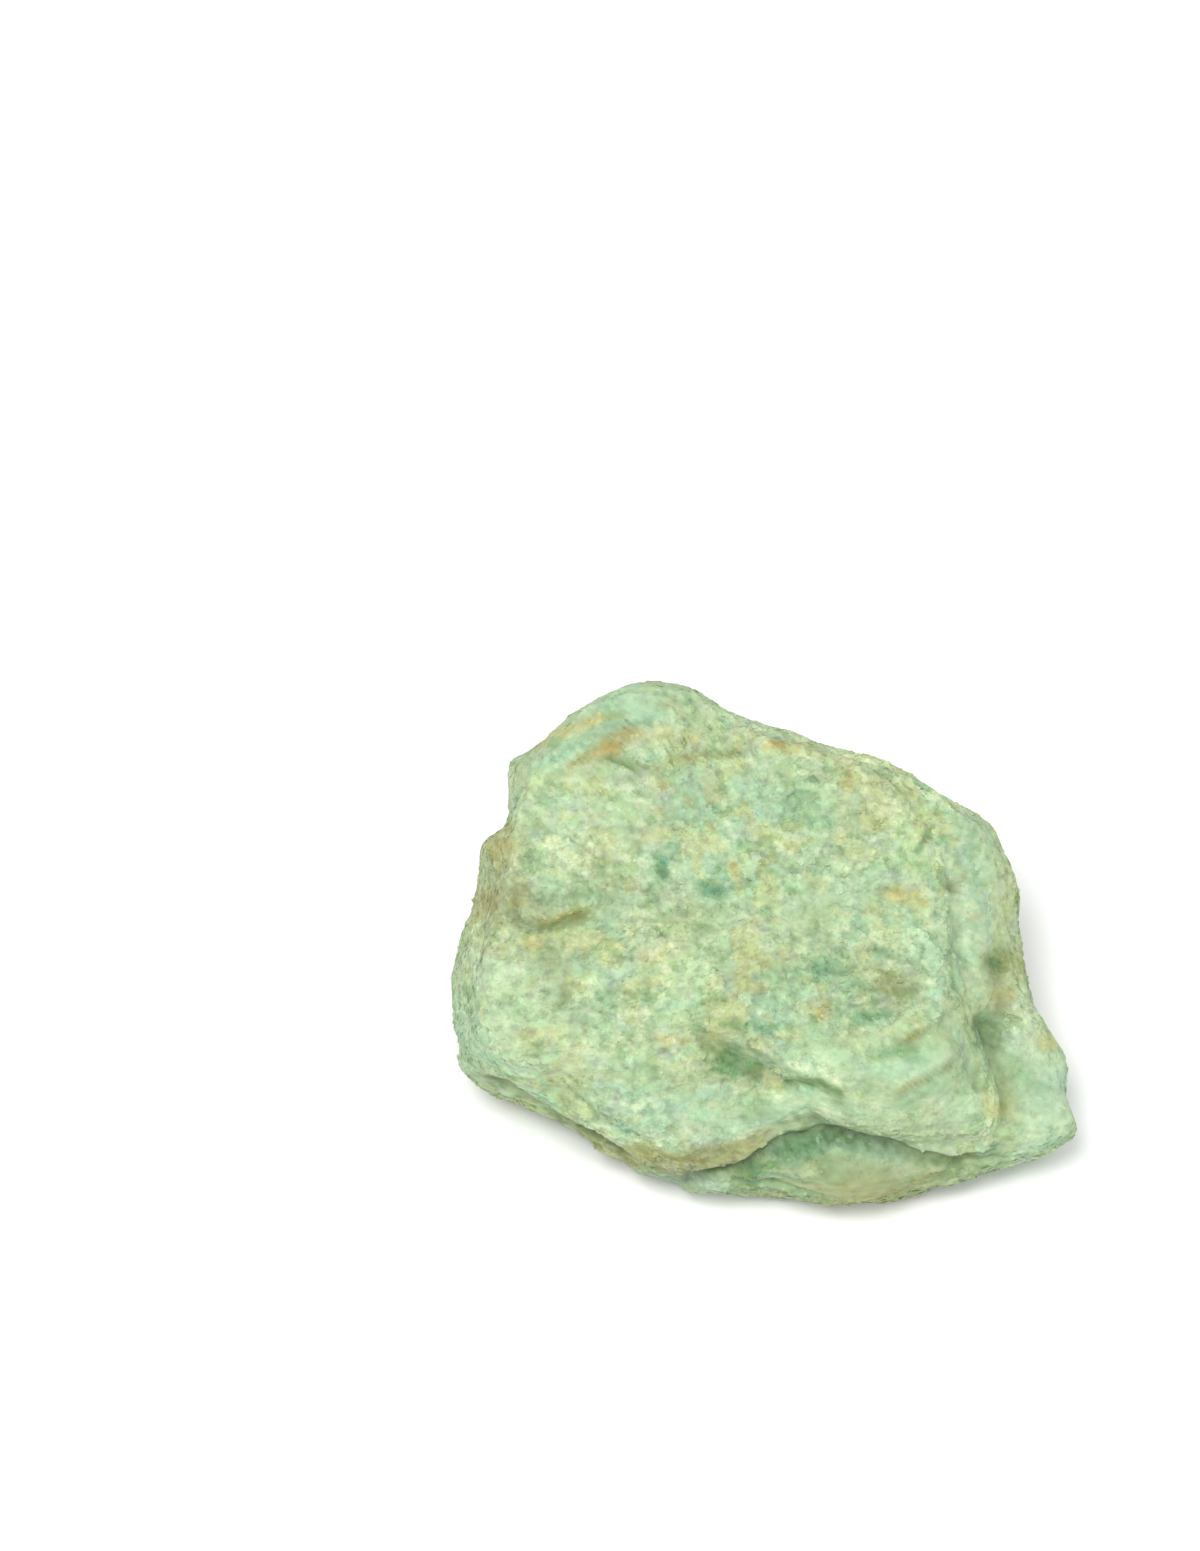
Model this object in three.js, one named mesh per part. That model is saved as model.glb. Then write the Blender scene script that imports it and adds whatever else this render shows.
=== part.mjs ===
// Raw fuchsite: one broken piece of chrome-mica schist, a thick slab of slanting layers.
//
// The surface is a distance from the slab's centre for every direction. Four bodies, the base, the shoulder
// on its right, the block and the sheet on top of it, are each a rounded prism cut by facets, and the stone
// is their union. Low lumps, the sheet's broken edge, an undercut and a crevice are worked into it, and it
// is flat underneath, where it rests.
//
// Millimetres, +Z up, the broken front towards -Y. The origin is the bottom centre of the stone's box.

import * as THREE from 'three';
import { mergeGeometries, mergeVertices } from 'three/addons/utils/BufferGeometryUtils.js';

// ---- driving dimensions ----

const LAYER_RISE = THREE.MathUtils.degToRad(15); // the layers rise to the back by this
const FACE_LEAN = THREE.MathUtils.degToRad(52); // the face plane, where marks are placed, looks up by this
const SLAB_CENTRE = new THREE.Vector3(0.5, -1.1, 11);
const SUNK = 0.15; // the underside is cut this far below the floor, before the lumps
const CELLS = 44; // grid cells across each half of the stone
const RELAX_ROUNDS = 60;
const JOIN_SHARPNESS = 4; // how crisp the angle is where two bodies meet, per mm
const DOME_STEEPNESS = 2.6; // how fast the grid's dome falls from its top to its rim
const WELD_DISTANCE = 1e-4;
const WANDER = { size: 3, reach: 0.35, seeds: [21, 22] }; // waves along the marks on the face plane

const LUMPS = [
  { size: 13, height: 0.8, seed: 3 },
  { size: 5, height: 0.35, seed: 7 },
];

// places on the face plane: mm to the right of the centre, and mm up the face
const SHEET_EDGE = {
  points: [[-9.2, -6.5], [-4.4, -8.6], [1.4, -11.4], [4.7, -12.8], [7.9, -16], [9.4, -17.9]],
  height: 0.8,
  reach: 5,
  softness: 1.3,
};
const CREVICE = {
  points: [[-12.9, -21.1], [-8.7, -22], [-2.8, -20.8], [2.4, -18.2], [5.4, -17.5], [8.4, -18],
    [13, -19.7], [18.5, -20.6], [21.8, -19.7], [23.9, -17.9], [24.6, -16.2]],
  depth: 1.2,
  width: 1.2,
};
const UNDERCUT = {
  points: [[-29.3, -11.9], [-25, -13.4], [-22, -15.5], [-16.6, -17.9], [-12.1, -21.1]],
  depth: 0.8,
  width: 1,
};

// outlines in the plane of the layers: mm to the right of the centre, and mm towards the back
const BASE_OUTLINE = [
  [28.3, -11.8], [27.1, -8.6], [25.9, -6], [25, 0.5], [24.5, 6], [22.5, 10.5], [19, 13], [13.5, 15.8],
  [4, 20.8], [-3.2, 23.3], [-8.5, 26], [-13, 26.3], [-17.5, 24.5], [-24.1, 18.1], [-26, 13.5], [-27.5, 8],
  [-28, 3.5], [-29, -2], [-29.7, -9], [-29.2, -13.2], [-20.8, -17.2], [-13.4, -21.3], [-10, -23.1],
  [-6.5, -24.2], [1, -25.1], [7, -26.4], [10.8, -25.9], [15.5, -24.4], [18.5, -23.3], [23.6, -21.2],
  [27.2, -19.8], [28.8, -18.2], [28, -15],
];
const BLOCK_OUTLINE = [
  [21, -3], [20.5, 5], [18.3, 10.3], [14, 15.7], [4, 21], [-3.2, 23.7], [-8.5, 26.2], [-13, 26.5],
  [-17.5, 25], [-24.3, 18.4], [-26.2, 13.5], [-27.8, 8], [-28.2, 3.5], [-29.3, -2], [-29.8, -8.5],
  [-28.9, -12.5], [-20, -16.8], [-13.5, -20.3], [-8.5, -22.5], [-2.5, -21.9], [1.5, -20.4], [6, -19.4],
  [12, -20], [18, -18.5], [20.5, -13],
];
const SHEET_OUTLINE = [
  [20.5, -5.5], [20.5, 0.5], [19, 9.5], [14, 16.5], [5, 20], [-2, 17], [-7, 9], [-10, 0.5], [-11, -5.5],
  [-9.2, -10.2], [-4.4, -13], [-0.5, -15.6], [2.6, -17.9], [5.8, -20], [10, -21.1], [16, -21.2],
  [21.5, -20.4], [22.6, -17.8], [21.3, -12],
];
const SHOULDER_OUTLINE = [
  [22.3, -9], [23.3, -5], [23.6, 0], [23.2, 5], [21.5, 10], [18, 13.5], [12, 14.5], [4, 12], [-3, 8],
  [-6, 0], [-3, -8], [4, -12], [12, -14], [19, -12],
];

// The wall's slants: mm that it draws in for each mm up or down, towards the left, front left, front, front
// right, right, back right, back and back left. A facet is a slab normal, the place on the face plane that
// it passes through, and its height over the centre there. A larger sharpness gives crisper arrises.
const FLOOR_NORMAL = [0, -Math.sin(LAYER_RISE), -Math.cos(LAYER_RISE)];
const FLOOR = { normal: new THREE.Vector3(...FLOOR_NORMAL), distance: SLAB_CENTRE.z + SUNK };
const BODIES = [
  {
    outline: polarOutline(BASE_OUTLINE),
    drawInUp: [0.6, 0.6, 0.7, 0.7, 0.7, 0.5, 0.5, 0.5],
    drawInDown: [0.35, 0.6, 0.45, 0.5, 0.3, 0.3, 0.3, 0.3],
    facets: [facet([0.1, -0.1, 1], [20.8, -13], 3), FLOOR],
    sharpness: 12,
  },
  {
    outline: polarOutline(SHOULDER_OUTLINE),
    drawInUp: [0.5, 0.5, 0.5, 0.5, 0.5, 0.5, 0.5, 0.5],
    drawInDown: [0.3, 0.3, 0.3, 0.3, 0.3, 0.3, 0.3, 0.3],
    facets: [facet([0.12, 0, 1], [20.5, 2], 5.4), FLOOR],
    sharpness: 12,
  },
  {
    outline: polarOutline(BLOCK_OUTLINE),
    drawInUp: [0.35, 0.3, 0.25, 0.4, 0.6, 0.5, 0.6, 0.5],
    drawInDown: [0.3, 0.45, 0.3, 0.5, 0.5, 0.3, 0.3, 0.3],
    facets: [
      facet([0.02, 0.02, 1], [-6.3, 4.4], 8.6),
      facet([-0.1, 0.5, 0.85], [-12.1, 17.5], 8.4),
      facet([-0.1, -0.26, 0.96], [-10.2, -14.5], 6),
      facet([0.6, 0.1, 0.79], [13.6, 6.3], 8.6),
      facet([-0.55, 0.05, 0.83], [-23.7, -1.5], 7.6),
      facet([0.3, 0.35, 0.88], [8.2, 15], 8.4),
      FLOOR,
    ],
    sharpness: 16,
  },
  {
    outline: polarOutline(SHEET_OUTLINE),
    drawInUp: [0.4, 0.15, 0.1, 0.3, 0.6, 0.5, 0.6, 0.5],
    drawInDown: [0.3, 0.3, 0.3, 0.4, 0.5, 0.3, 0.3, 0.3],
    facets: [
      facet([-0.04, 0.08, 1], [1.4, -10.2], 9.2),
      facet([0.2, -0.28, 0.94], [13, -13], 7.6),
      facet([0.62, 0, 0.78], [16.9, -1.5], 8.4),
      facet([0.3, 0.35, 0.88], [8.2, 15], 8.6),
      FLOOR,
    ],
    sharpness: 16,
  },
];

// ---- outlines and facets ----

// An outline as [angle, radius] pairs in order of angle, with two pairs repeated at each end to go round.
function polarOutline(points) {
  const pairs = points.map(([x, y]) => [Math.atan2(y, x), Math.hypot(x, y)]);
  pairs.sort((one, other) => one[0] - other[0]);
  const before = pairs.slice(-2).map(([angle, radius]) => [angle - 2 * Math.PI, radius]);
  const after = pairs.slice(0, 2).map(([angle, radius]) => [angle + 2 * Math.PI, radius]);
  return [...before, ...pairs, ...after];
}

// Cubic Hermite curve of radius over angle through the outline's pairs.
function outlineRadius(outline, angle) {
  let k = 1;
  while (k < outline.length - 3 && outline[k + 1][0] <= angle) {
    k += 1;
  }
  const [[angle0, radius0], [angle1, radius1]] = outline.slice(k - 1, k + 1);
  const [[angle2, radius2], [angle3, radius3]] = outline.slice(k + 1, k + 3);
  const span = angle2 - angle1;
  const t = (angle - angle1) / span;
  const slope1 = ((radius2 - radius0) / (angle2 - angle0)) * span;
  const slope2 = ((radius3 - radius1) / (angle3 - angle1)) * span;
  const t2 = t * t;
  const t3 = t2 * t;
  const ends = (2 * t3 - 3 * t2 + 1) * radius1 + (3 * t2 - 2 * t3) * radius2;
  return ends + (t3 - 2 * t2 + t) * slope1 + (t3 - t2) * slope2;
}

// A wall's slant at an angle: straight lines between the eight directions, the first at -180 degrees.
function slantAt(slants, angle) {
  const place = ((angle + Math.PI) / (2 * Math.PI)) * slants.length;
  const low = Math.floor(place) % slants.length;
  const high = (low + 1) % slants.length;
  return THREE.MathUtils.lerp(slants[low], slants[high], place - Math.floor(place));
}

// The plane with this slab normal that passes under a place on the face plane, at a height over the centre.
function facet(normal, [right, up], height) {
  const unit = new THREE.Vector3(...normal).normalize();
  const back = (up - height * Math.cos(FACE_LEAN + LAYER_RISE)) / Math.sin(FACE_LEAN + LAYER_RISE);
  return { normal: unit, distance: unit.dot(new THREE.Vector3(right, back, height)) };
}

// ---- noise ----

function smooth(value) {
  return THREE.MathUtils.smoothstep(value, 0, 1);
}

// A fixed random number from -1 to 1 for each corner of a cubic lattice.
function latticeValue(i, j, k, seed) {
  const wave = Math.sin(i * 127.1 + j * 311.7 + k * 74.7 + seed * 53.3) * 43758.5453;
  return 2 * (wave - Math.floor(wave)) - 1;
}

// Lattice values blended by a quintic curve between the eight corners round a point.
function noise(point, size, seed) {
  const place = point.toArray().map((value) => value / size);
  const corner = place.map(Math.floor);
  const blend = place.map((value, axis) => {
    const t = value - corner[axis];
    return t * t * t * (t * (t * 6 - 15) + 10);
  });
  let total = 0;
  for (let index = 0; index < 8; index += 1) {
    const step = [index & 1, (index >> 1) & 1, (index >> 2) & 1];
    const weights = step.map((on, axis) => (on ? blend[axis] : 1 - blend[axis]));
    const [i, j, k] = corner.map((value, axis) => value + step[axis]);
    total += weights[0] * weights[1] * weights[2] * latticeValue(i, j, k, seed);
  }
  return total;
}

// Two octaves of noise, the second half as high and about half as wide.
function lumpyNoise(point, size, seed) {
  return noise(point, size, seed) + 0.5 * noise(point, size / 2.03, seed + 1);
}

// ---- the bodies ----

// One body along a direction from the centre: 1 / radius is the p-norm of the terms of its wall and facets,
// so the smallest distance wins and the arrises are rounded. The normal is the gradient of that norm.
function bodySurface(body, direction) {
  const { x, y, z } = direction;
  const flat = Math.max(Math.hypot(x, y), 1e-9);
  const angle = Math.atan2(y, x);
  const power = body.sharpness;
  const radius = outlineRadius(body.outline, angle) * 2 ** (1 / power);
  const slants = [slantAt(body.drawInUp, angle), -slantAt(body.drawInDown, angle)];
  const terms = slants.map((slant) => [
    Math.max(flat + slant * z, 0) / radius,
    new THREE.Vector3(x / flat, y / flat, slant).divideScalar(radius),
  ]);
  for (const { normal, distance } of body.facets) {
    terms.push([Math.max(direction.dot(normal), 0) / distance, normal.clone().divideScalar(distance)]);
  }
  let sum = 0;
  const slope = new THREE.Vector3();
  for (const [term, gradient] of terms) {
    sum += term ** power;
    slope.addScaledVector(gradient, term ** (power - 1));
  }
  return { radius: sum ** (-1 / power), normal: slope.normalize() };
}

// The union of the bodies: a soft maximum of their radii, and their normals blended by the same weights.
function roughSurface(direction) {
  const surfaces = BODIES.map((body) => bodySurface(body, direction));
  const largest = Math.max(...surfaces.map((surface) => surface.radius));
  const weights = surfaces.map((surface) => Math.exp((surface.radius - largest) * JOIN_SHARPNESS));
  const total = weights.reduce((sum, weight) => sum + weight, 0);
  const normal = new THREE.Vector3();
  surfaces.forEach((surface, index) => normal.addScaledVector(surface.normal, weights[index]));
  const radius = largest + Math.log(total) / JOIN_SHARPNESS;
  return { point: direction.clone().multiplyScalar(radius), normal: normal.normalize() };
}

// ---- ledge, undercut and crevice ----

// Where a point of the slab lies on the face plane, with its small wander.
function facePlace(point) {
  const up = point.y * Math.sin(FACE_LEAN + LAYER_RISE) + point.z * Math.cos(FACE_LEAN + LAYER_RISE);
  const [right, higher] = WANDER.seeds.map((seed) => WANDER.reach * noise(point, WANDER.size, seed));
  return new THREE.Vector2(point.x + right, up + higher);
}

// Signed distance to a line of points, positive on its left, and the share of its length passed there.
function nearLine(place, points) {
  const corners = points.map(([x, y]) => new THREE.Vector2(x, y));
  let passed = 0;
  let nearest = { distance: Infinity };
  for (let k = 0; k < corners.length - 1; k += 1) {
    const run = corners[k + 1].clone().sub(corners[k]);
    const offset = place.clone().sub(corners[k]);
    const share = THREE.MathUtils.clamp(offset.dot(run) / run.lengthSq(), 0, 1);
    const gap = offset.clone().addScaledVector(run, -share);
    if (gap.length() < nearest.distance) {
      const side = run.cross(gap) < 0 ? -1 : 1;
      nearest = { distance: gap.length(), side, at: passed + share * run.length() };
    }
    passed += run.length();
  }
  return { distance: nearest.distance * nearest.side, along: nearest.at / passed };
}

// 1 along a line, falling to 0 over a share of its length at each end.
function endsFade(along, first, last) {
  return smooth(along / first) * smooth((1 - along) / last);
}

// The sheet stands up along its broken edge, and the step dies out away from it and at its two ends.
function raiseSheet(point, normal) {
  const { distance, along } = nearLine(facePlace(point), SHEET_EDGE.points);
  const ends = endsFade(along, 0.25, 0.15);
  const step = smooth((distance / SHEET_EDGE.softness) * 0.5 + 0.5);
  const fade = Math.exp(-Math.max(distance, 0) / SHEET_EDGE.reach);
  point.z += SHEET_EDGE.height * ends * step * fade * smooth((normal.z + 0.1) / 0.3);
}

// A groove with a bell-shaped section, cut towards the centre.
function cutGroove(groove, point, direction) {
  const { distance, along } = nearLine(facePlace(point), groove.points);
  const ends = endsFade(along, 0.15, 0.2);
  const bell = Math.exp(-((distance / groove.width) ** 2));
  const seen = smooth((direction.z + 0.25) / 0.1);
  point.addScaledVector(direction, -groove.depth * ends * bell * seen);
}

// The finished surface point in slab axes for a direction from the centre.
function stonePoint(direction) {
  const { point, normal } = roughSurface(direction);
  const heights = LUMPS.map(({ size, height, seed }) => height * lumpyNoise(point, size, seed));
  point.addScaledVector(normal, heights.reduce((sum, height) => sum + height));
  raiseSheet(point, normal);
  cutGroove(CREVICE, point, direction);
  cutGroove(UNDERCUT, point, direction);
  return point;
}

// ---- the mesh ----

// Directions of one half, a square grid bent into a disc and the disc into a dome that meets the rim.
function halfDirections(side) {
  const grid = new THREE.PlaneGeometry(2, 2, CELLS, CELLS).getAttribute('position');
  const directions = [];
  for (let index = 0; index < grid.count; index += 1) {
    const across = grid.getX(index);
    const up = grid.getY(index);
    const x = across * Math.sqrt(1 - (up * up) / 2);
    const y = up * Math.sqrt(1 - (across * across) / 2);
    const reach = Math.min(Math.hypot(x, y), 1);
    const onRim = reach > 0.99999;
    const polar = onRim ? Math.PI / 2 : Math.atan((DOME_STEEPNESS * reach) / (1 - reach ** 7));
    const angle = Math.atan2(y, x);
    directions.push(new THREE.Vector3(
      Math.sin(polar) * Math.cos(angle),
      Math.sin(polar) * Math.sin(angle),
      side * Math.cos(polar),
    ));
  }
  return directions;
}

// The middle of a grid point's four neighbours. A neighbour past the rim is the other half's.
function neighbourMiddle(own, other, row, column) {
  const middle = new THREE.Vector3();
  for (const [down, right] of [[-1, 0], [1, 0], [0, -1], [0, 1]]) {
    const nextRow = row + down;
    const nextColumn = column + right;
    const outside = nextRow < 0 || nextRow > CELLS || nextColumn < 0 || nextColumn > CELLS;
    const fromRow = outside ? row - down : nextRow;
    const fromColumn = outside ? column - right : nextColumn;
    middle.add((outside ? other : own)[fromRow * (CELLS + 1) + fromColumn]);
  }
  return middle.divideScalar(4);
}

// Both halves' directions after rounds of moving each grid point to its neighbours' middle, so that the
// faces have about one size all over the stone.
function relaxedDirections() {
  let halves = [halfDirections(1), halfDirections(-1)];
  for (let round = 0; round < RELAX_ROUNDS; round += 1) {
    const points = halves.map((half) => half.map((direction) => roughSurface(direction).point));
    halves = points.map((own, half) => own.map((_, index) => {
      const row = Math.floor(index / (CELLS + 1));
      const column = index % (CELLS + 1);
      return neighbourMiddle(own, points[1 - half], row, column).normalize();
    }));
  }
  return halves;
}

// A grid's triangles, each cell's diagonal running towards the grid's middle, so that none joins two points
// of the rim.
function gridTriangles(isLower) {
  const triangles = [];
  const half = (CELLS - 1) / 2;
  for (let row = 0; row < CELLS; row += 1) {
    for (let column = 0; column < CELLS; column += 1) {
      const [a, b] = [row * (CELLS + 1) + column, (row + 1) * (CELLS + 1) + column];
      const [c, d] = [b + 1, a + 1];
      const isFalling = (row > half) === (column > half);
      triangles.push(...(isFalling ? [a, b, c, a, c, d] : [a, b, d, b, c, d]));
    }
  }
  return isLower ? triangles.reverse() : triangles;
}

// A plane's grid with its points moved onto the stone, and its faces turned over on the lower half.
function halfGeometry(directions, isLower) {
  const geometry = new THREE.PlaneGeometry(2, 2, CELLS, CELLS);
  const slabToTable = new THREE.Matrix4().makeRotationX(LAYER_RISE).setPosition(SLAB_CENTRE);
  const position = geometry.getAttribute('position');
  directions.forEach((direction, index) => {
    const { x, y, z } = stonePoint(direction).applyMatrix4(slabToTable);
    position.setXYZ(index, x, y, Math.max(z, 0));
  });
  geometry.setIndex(gridTriangles(isLower));
  geometry.deleteAttribute('normal');
  geometry.deleteAttribute('uv');
  return geometry;
}

function stoneGeometry() {
  const [upper, lower] = relaxedDirections();
  const halves = mergeGeometries([halfGeometry(upper, false), halfGeometry(lower, true)]);
  const geometry = mergeVertices(halves, WELD_DISTANCE);
  geometry.computeBoundingBox();
  const middle = geometry.boundingBox.getCenter(new THREE.Vector3());
  geometry.translate(-middle.x, -middle.y, 0);
  geometry.computeVertexNormals();
  return geometry;
}

const stone = new THREE.Mesh(
  stoneGeometry(),
  new THREE.MeshStandardMaterial({ color: 0xb6cda0, roughness: 0.62, metalness: 0 }),
);
stone.name = 'fuchsite_stone';

const rawFuchsite = new THREE.Group();
rawFuchsite.add(stone);

export default rawFuchsite;
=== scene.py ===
"""A rough piece of green fuchsite, a mica schist, on a pale floor in soft studio light.

The stone is one closed surface: a distance from its centre for every direction, with ledges, grooves,
layers and flakes worked into it. Scales of mica lie nearly sunk in it. Lengths in the shape functions are
millimetres in the slab's own axes: x to the right, y towards the back along the layers, z across them.
"""

import bpy
import numpy as np
from bpy.props import FloatProperty, FloatVectorProperty, IntProperty, PointerProperty
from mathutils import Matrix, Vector


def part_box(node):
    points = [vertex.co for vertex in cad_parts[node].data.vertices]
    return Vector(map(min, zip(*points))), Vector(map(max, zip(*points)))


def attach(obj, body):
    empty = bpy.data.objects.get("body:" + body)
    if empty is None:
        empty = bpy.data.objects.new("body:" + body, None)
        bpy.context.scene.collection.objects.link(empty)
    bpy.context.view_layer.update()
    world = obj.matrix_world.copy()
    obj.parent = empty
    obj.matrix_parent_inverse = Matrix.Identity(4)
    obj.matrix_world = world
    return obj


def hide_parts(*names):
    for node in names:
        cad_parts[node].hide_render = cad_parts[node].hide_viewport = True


bl_info = {
    "name": "Raw Fuchsite Stone",
    "version": (1, 0, 0),
    "blender": (4, 5, 0),
    "location": "View3D > Sidebar > Fuchsite",
    "description": "Makes a rough green mica schist stone, its loose mica scales and a soft studio",
    "category": "Add Mesh",
}

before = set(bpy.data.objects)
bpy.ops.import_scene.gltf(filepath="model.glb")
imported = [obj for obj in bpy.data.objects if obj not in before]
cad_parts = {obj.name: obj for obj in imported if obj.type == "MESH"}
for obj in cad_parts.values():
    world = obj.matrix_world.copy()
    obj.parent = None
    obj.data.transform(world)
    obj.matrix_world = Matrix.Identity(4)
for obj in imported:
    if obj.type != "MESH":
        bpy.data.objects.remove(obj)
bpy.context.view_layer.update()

NODE = "fuchsite_stone"
BODY = "root"
STONE = "stone"
FINE_SCALES = "fine_mica_scales"
COARSE_SCALES = "coarse_mica_scales"
MARKS = ("ochre", "tan", "olive", "deep", "pale", "teal", "grey", "painted_ridge_light", "painted_shade", "sugary", "painted_light_and_tone")
MM = 0.001

# rounds of smoothing, and how much finer the last grid is than the one that is smoothed
FINER = 6
RELAX_ROUNDS = 60
NEAR_ROUNDS = 6
WIDE_ROUNDS = 80
DOME_STEEPNESS = 2.6
DOME_EDGE = 7

# mica scales: corners, lowest place and lowest point in mm, and how far sizes, corners and turns vary
SCALE_SIDES = 5
SCALES_ABOVE = 0.8
LOWEST_TIP = 0.05
SIZE_SPREAD = (0.6, 1.3)
CORNER_SPREAD = (0.65, 1.15)
CORNER_TURN = 0.35
STAND_SPREAD = (0.2, 1)
TONE_SPREAD = (-0.08, 0.12)

# ---- the slab ----

LAYER_RISE = np.radians(15)
FACE_LEAN = np.radians(52)
SLAB_CENTRE = np.array([0.385, -1.0, 11.0])
SUNK = 0.15
JOIN_SHARPNESS = 4.0
FACE_UP = np.array([np.sin(FACE_LEAN + LAYER_RISE), np.cos(FACE_LEAN + LAYER_RISE)])
ACROSS = np.array([0, 0, 1.0])
SLAB_AXES = np.array(
    [
        [1, 0, 0],
        [0, np.cos(LAYER_RISE), np.sin(LAYER_RISE)],
        [0, -np.sin(LAYER_RISE), np.cos(LAYER_RISE)],
    ]
)

# outlines in the plane of the layers, mm to the right and towards the back
BASE_OUTLINE = [
    (28.3, -11.8), (27.1, -8.6), (25.9, -6), (25, 0.5), (24.5, 6), (22.5, 10.5), (19, 13), (13.5, 15.8),
    (4, 20.8), (-3.2, 23.3), (-8.5, 26), (-13, 26.3), (-17.5, 24.5), (-24.1, 18.1), (-26, 13.5), (-27.5, 8),
    (-28, 3.5), (-29, -2), (-29.7, -9), (-29.2, -13.2), (-20.8, -17.2), (-13.4, -21.3), (-10, -23.1),
    (-6.5, -24.2), (1, -25.1), (7, -26.4), (10.8, -25.9), (15.5, -24.4), (18.5, -23.3), (23.6, -21.2),
    (27.2, -19.8), (28.8, -18.2), (28, -15),
]
BLOCK_OUTLINE = [
    (21, -3), (20.5, 5), (18.3, 10.3), (14, 15.7), (4, 21), (-3.2, 23.7), (-8.5, 26.2), (-13, 26.5),
    (-17.5, 25), (-24.3, 18.4), (-26.2, 13.5), (-27.8, 8), (-28.2, 3.5), (-29.3, -2), (-29.8, -8.5),
    (-28.9, -12.5), (-20, -16.8), (-13.5, -20.3), (-8.5, -22.5), (-2.5, -21.9), (1.5, -20.4), (6, -19.4),
    (12, -20), (18, -18.5), (20.5, -13),
]
SHEET_OUTLINE = [
    (20.5, -5.5), (20.5, 0.5), (19, 9.5), (14, 16.5), (5, 20), (-2, 17), (-7, 9), (-10, 0.5), (-11, -5.5),
    (-9.2, -10.2), (-4.4, -13), (-0.5, -15.6), (2.6, -17.9), (5.8, -20), (10, -21.1), (16, -21.2),
    (21.5, -20.4), (22.6, -17.8), (21.3, -12),
]
SHOULDER_OUTLINE = [
    (22.3, -9), (23.3, -5), (23.6, 0), (23.2, 5), (21.5, 10), (18, 13.5), (12, 14.5), (4, 12), (-3, 8),
    (-6, 0), (-3, -8), (4, -12), (12, -14), (19, -12),
]

# ---- marks on the face plane: mm to the right of the centre, and mm up the face ----

SHEET_EDGE = [(-9.2, -6.5), (-4.4, -8.6), (1.4, -11.4), (4.7, -12.8), (7.9, -16), (9.4, -17.9)]
CREVICE = [
    (-12.9, -21.1), (-8.7, -22), (-2.8, -20.8), (2.4, -18.2), (5.4, -17.5), (8.4, -18), (13, -19.7),
    (18.5, -20.6), (21.8, -19.7), (23.9, -17.9), (24.6, -16.2),
]
UNDERCUT = [(-29.3, -11.9), (-25, -13.4), (-22, -15.5), (-16.6, -17.9), (-12.1, -21.1)]

# line, height of the step on its left, reach of the raised side, softness
LEDGES = [
    (SHEET_EDGE, 0.95, 5.0, 0.45),
    (
        [(10.5, -13.9), (12.1, -13.4), (13.7, -12.7), (15.7, -11.5), (17.6, -10.4), (18.7, -8.7)],
        1.0, 3.5, 0.35,
    ),
    ([(10.5, -9.4), (12.8, -8.8), (15.7, -7.6), (16.9, -5.5)], 1.0, 3.0, 0.35),
    ([(6.5, -5.9), (9.7, -5.4), (11.9, -4.6), (13.6, -3.3), (14.5, -1.9)], 0.9, 3.5, 0.35),
    ([(-17.6, 17.7), (-13.6, 17.6), (-9.4, 17), (-6.3, 16.7)], 0.35, 3.0, 0.35),
    ([(-5, 21.8), (-10, 21.5), (-15, 19.9), (-19.5, 16.8), (-22.5, 13.5)], 0.35, 3.0, 0.4),
    ([(-4, 23.3), (-9.5, 23.4), (-14.5, 22), (-19.5, 18.9)], 0.3, 2.5, 0.4),
    ([(16.9, 10), (13.9, 13.9), (8.7, 17.5), (3.5, 19.5), (-1.8, 20.7)], 0.5, 3.5, 0.4),
    ([(-25.5, 4.4), (-23, 2.6), (-20.5, 2.4), (-17.4, 3), (-15, 4.2)], 0.5, 4.5, 0.7),
    ([(-7.5, 5.5), (-4, 4.2), (-1, 4.8), (2.5, 3.6), (5, 4.4)], 0.4, 3.0, 0.4),
]
# line, depth, half width
CREASES = [
    ([(-25.2, 4.1), (-23.1, 2.3), (-21.2, 2), (-18.6, 2.6), (-16, 3.2)], 0.5, 0.5),
    ([(-9.8, 18.7), (-7.3, 18.2), (-3.4, 18.7), (-0.5, 19.1)], 0.25, 0.45),
    ([(16.5, 12.4), (15.3, 10.4), (14.5, 9), (15.5, 8.1)], 0.45, 0.4),
    ([(16.6, 5.4), (17.8, 5.6), (19, 6)], 0.35, 0.35),
    ([(19.7, -6.3), (21.3, -8.2), (23.2, -9.2)], 0.7, 1.1),
    ([(-7.3, -7.9), (-4.4, -9.6), (-1.8, -11.5), (-0.3, -12.5)], 0.5, 0.5),
    ([(0.7, -12.7), (2.8, -12.4), (4.6, -12.8), (6.4, -14), (7.2, -15.2)], 0.4, 0.55),
    ([(18.5, -10.6), (19.2, -12), (20.1, -13.8)], 0.5, 0.45),
    ([(-16.3, 17.7), (-13.5, 17.5), (-10.6, 17.2)], 0.35, 0.35),
]
GROOVES = [(CREVICE, 1.2, 0.6), (UNDERCUT, 1.0, 0.5)]
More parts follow.
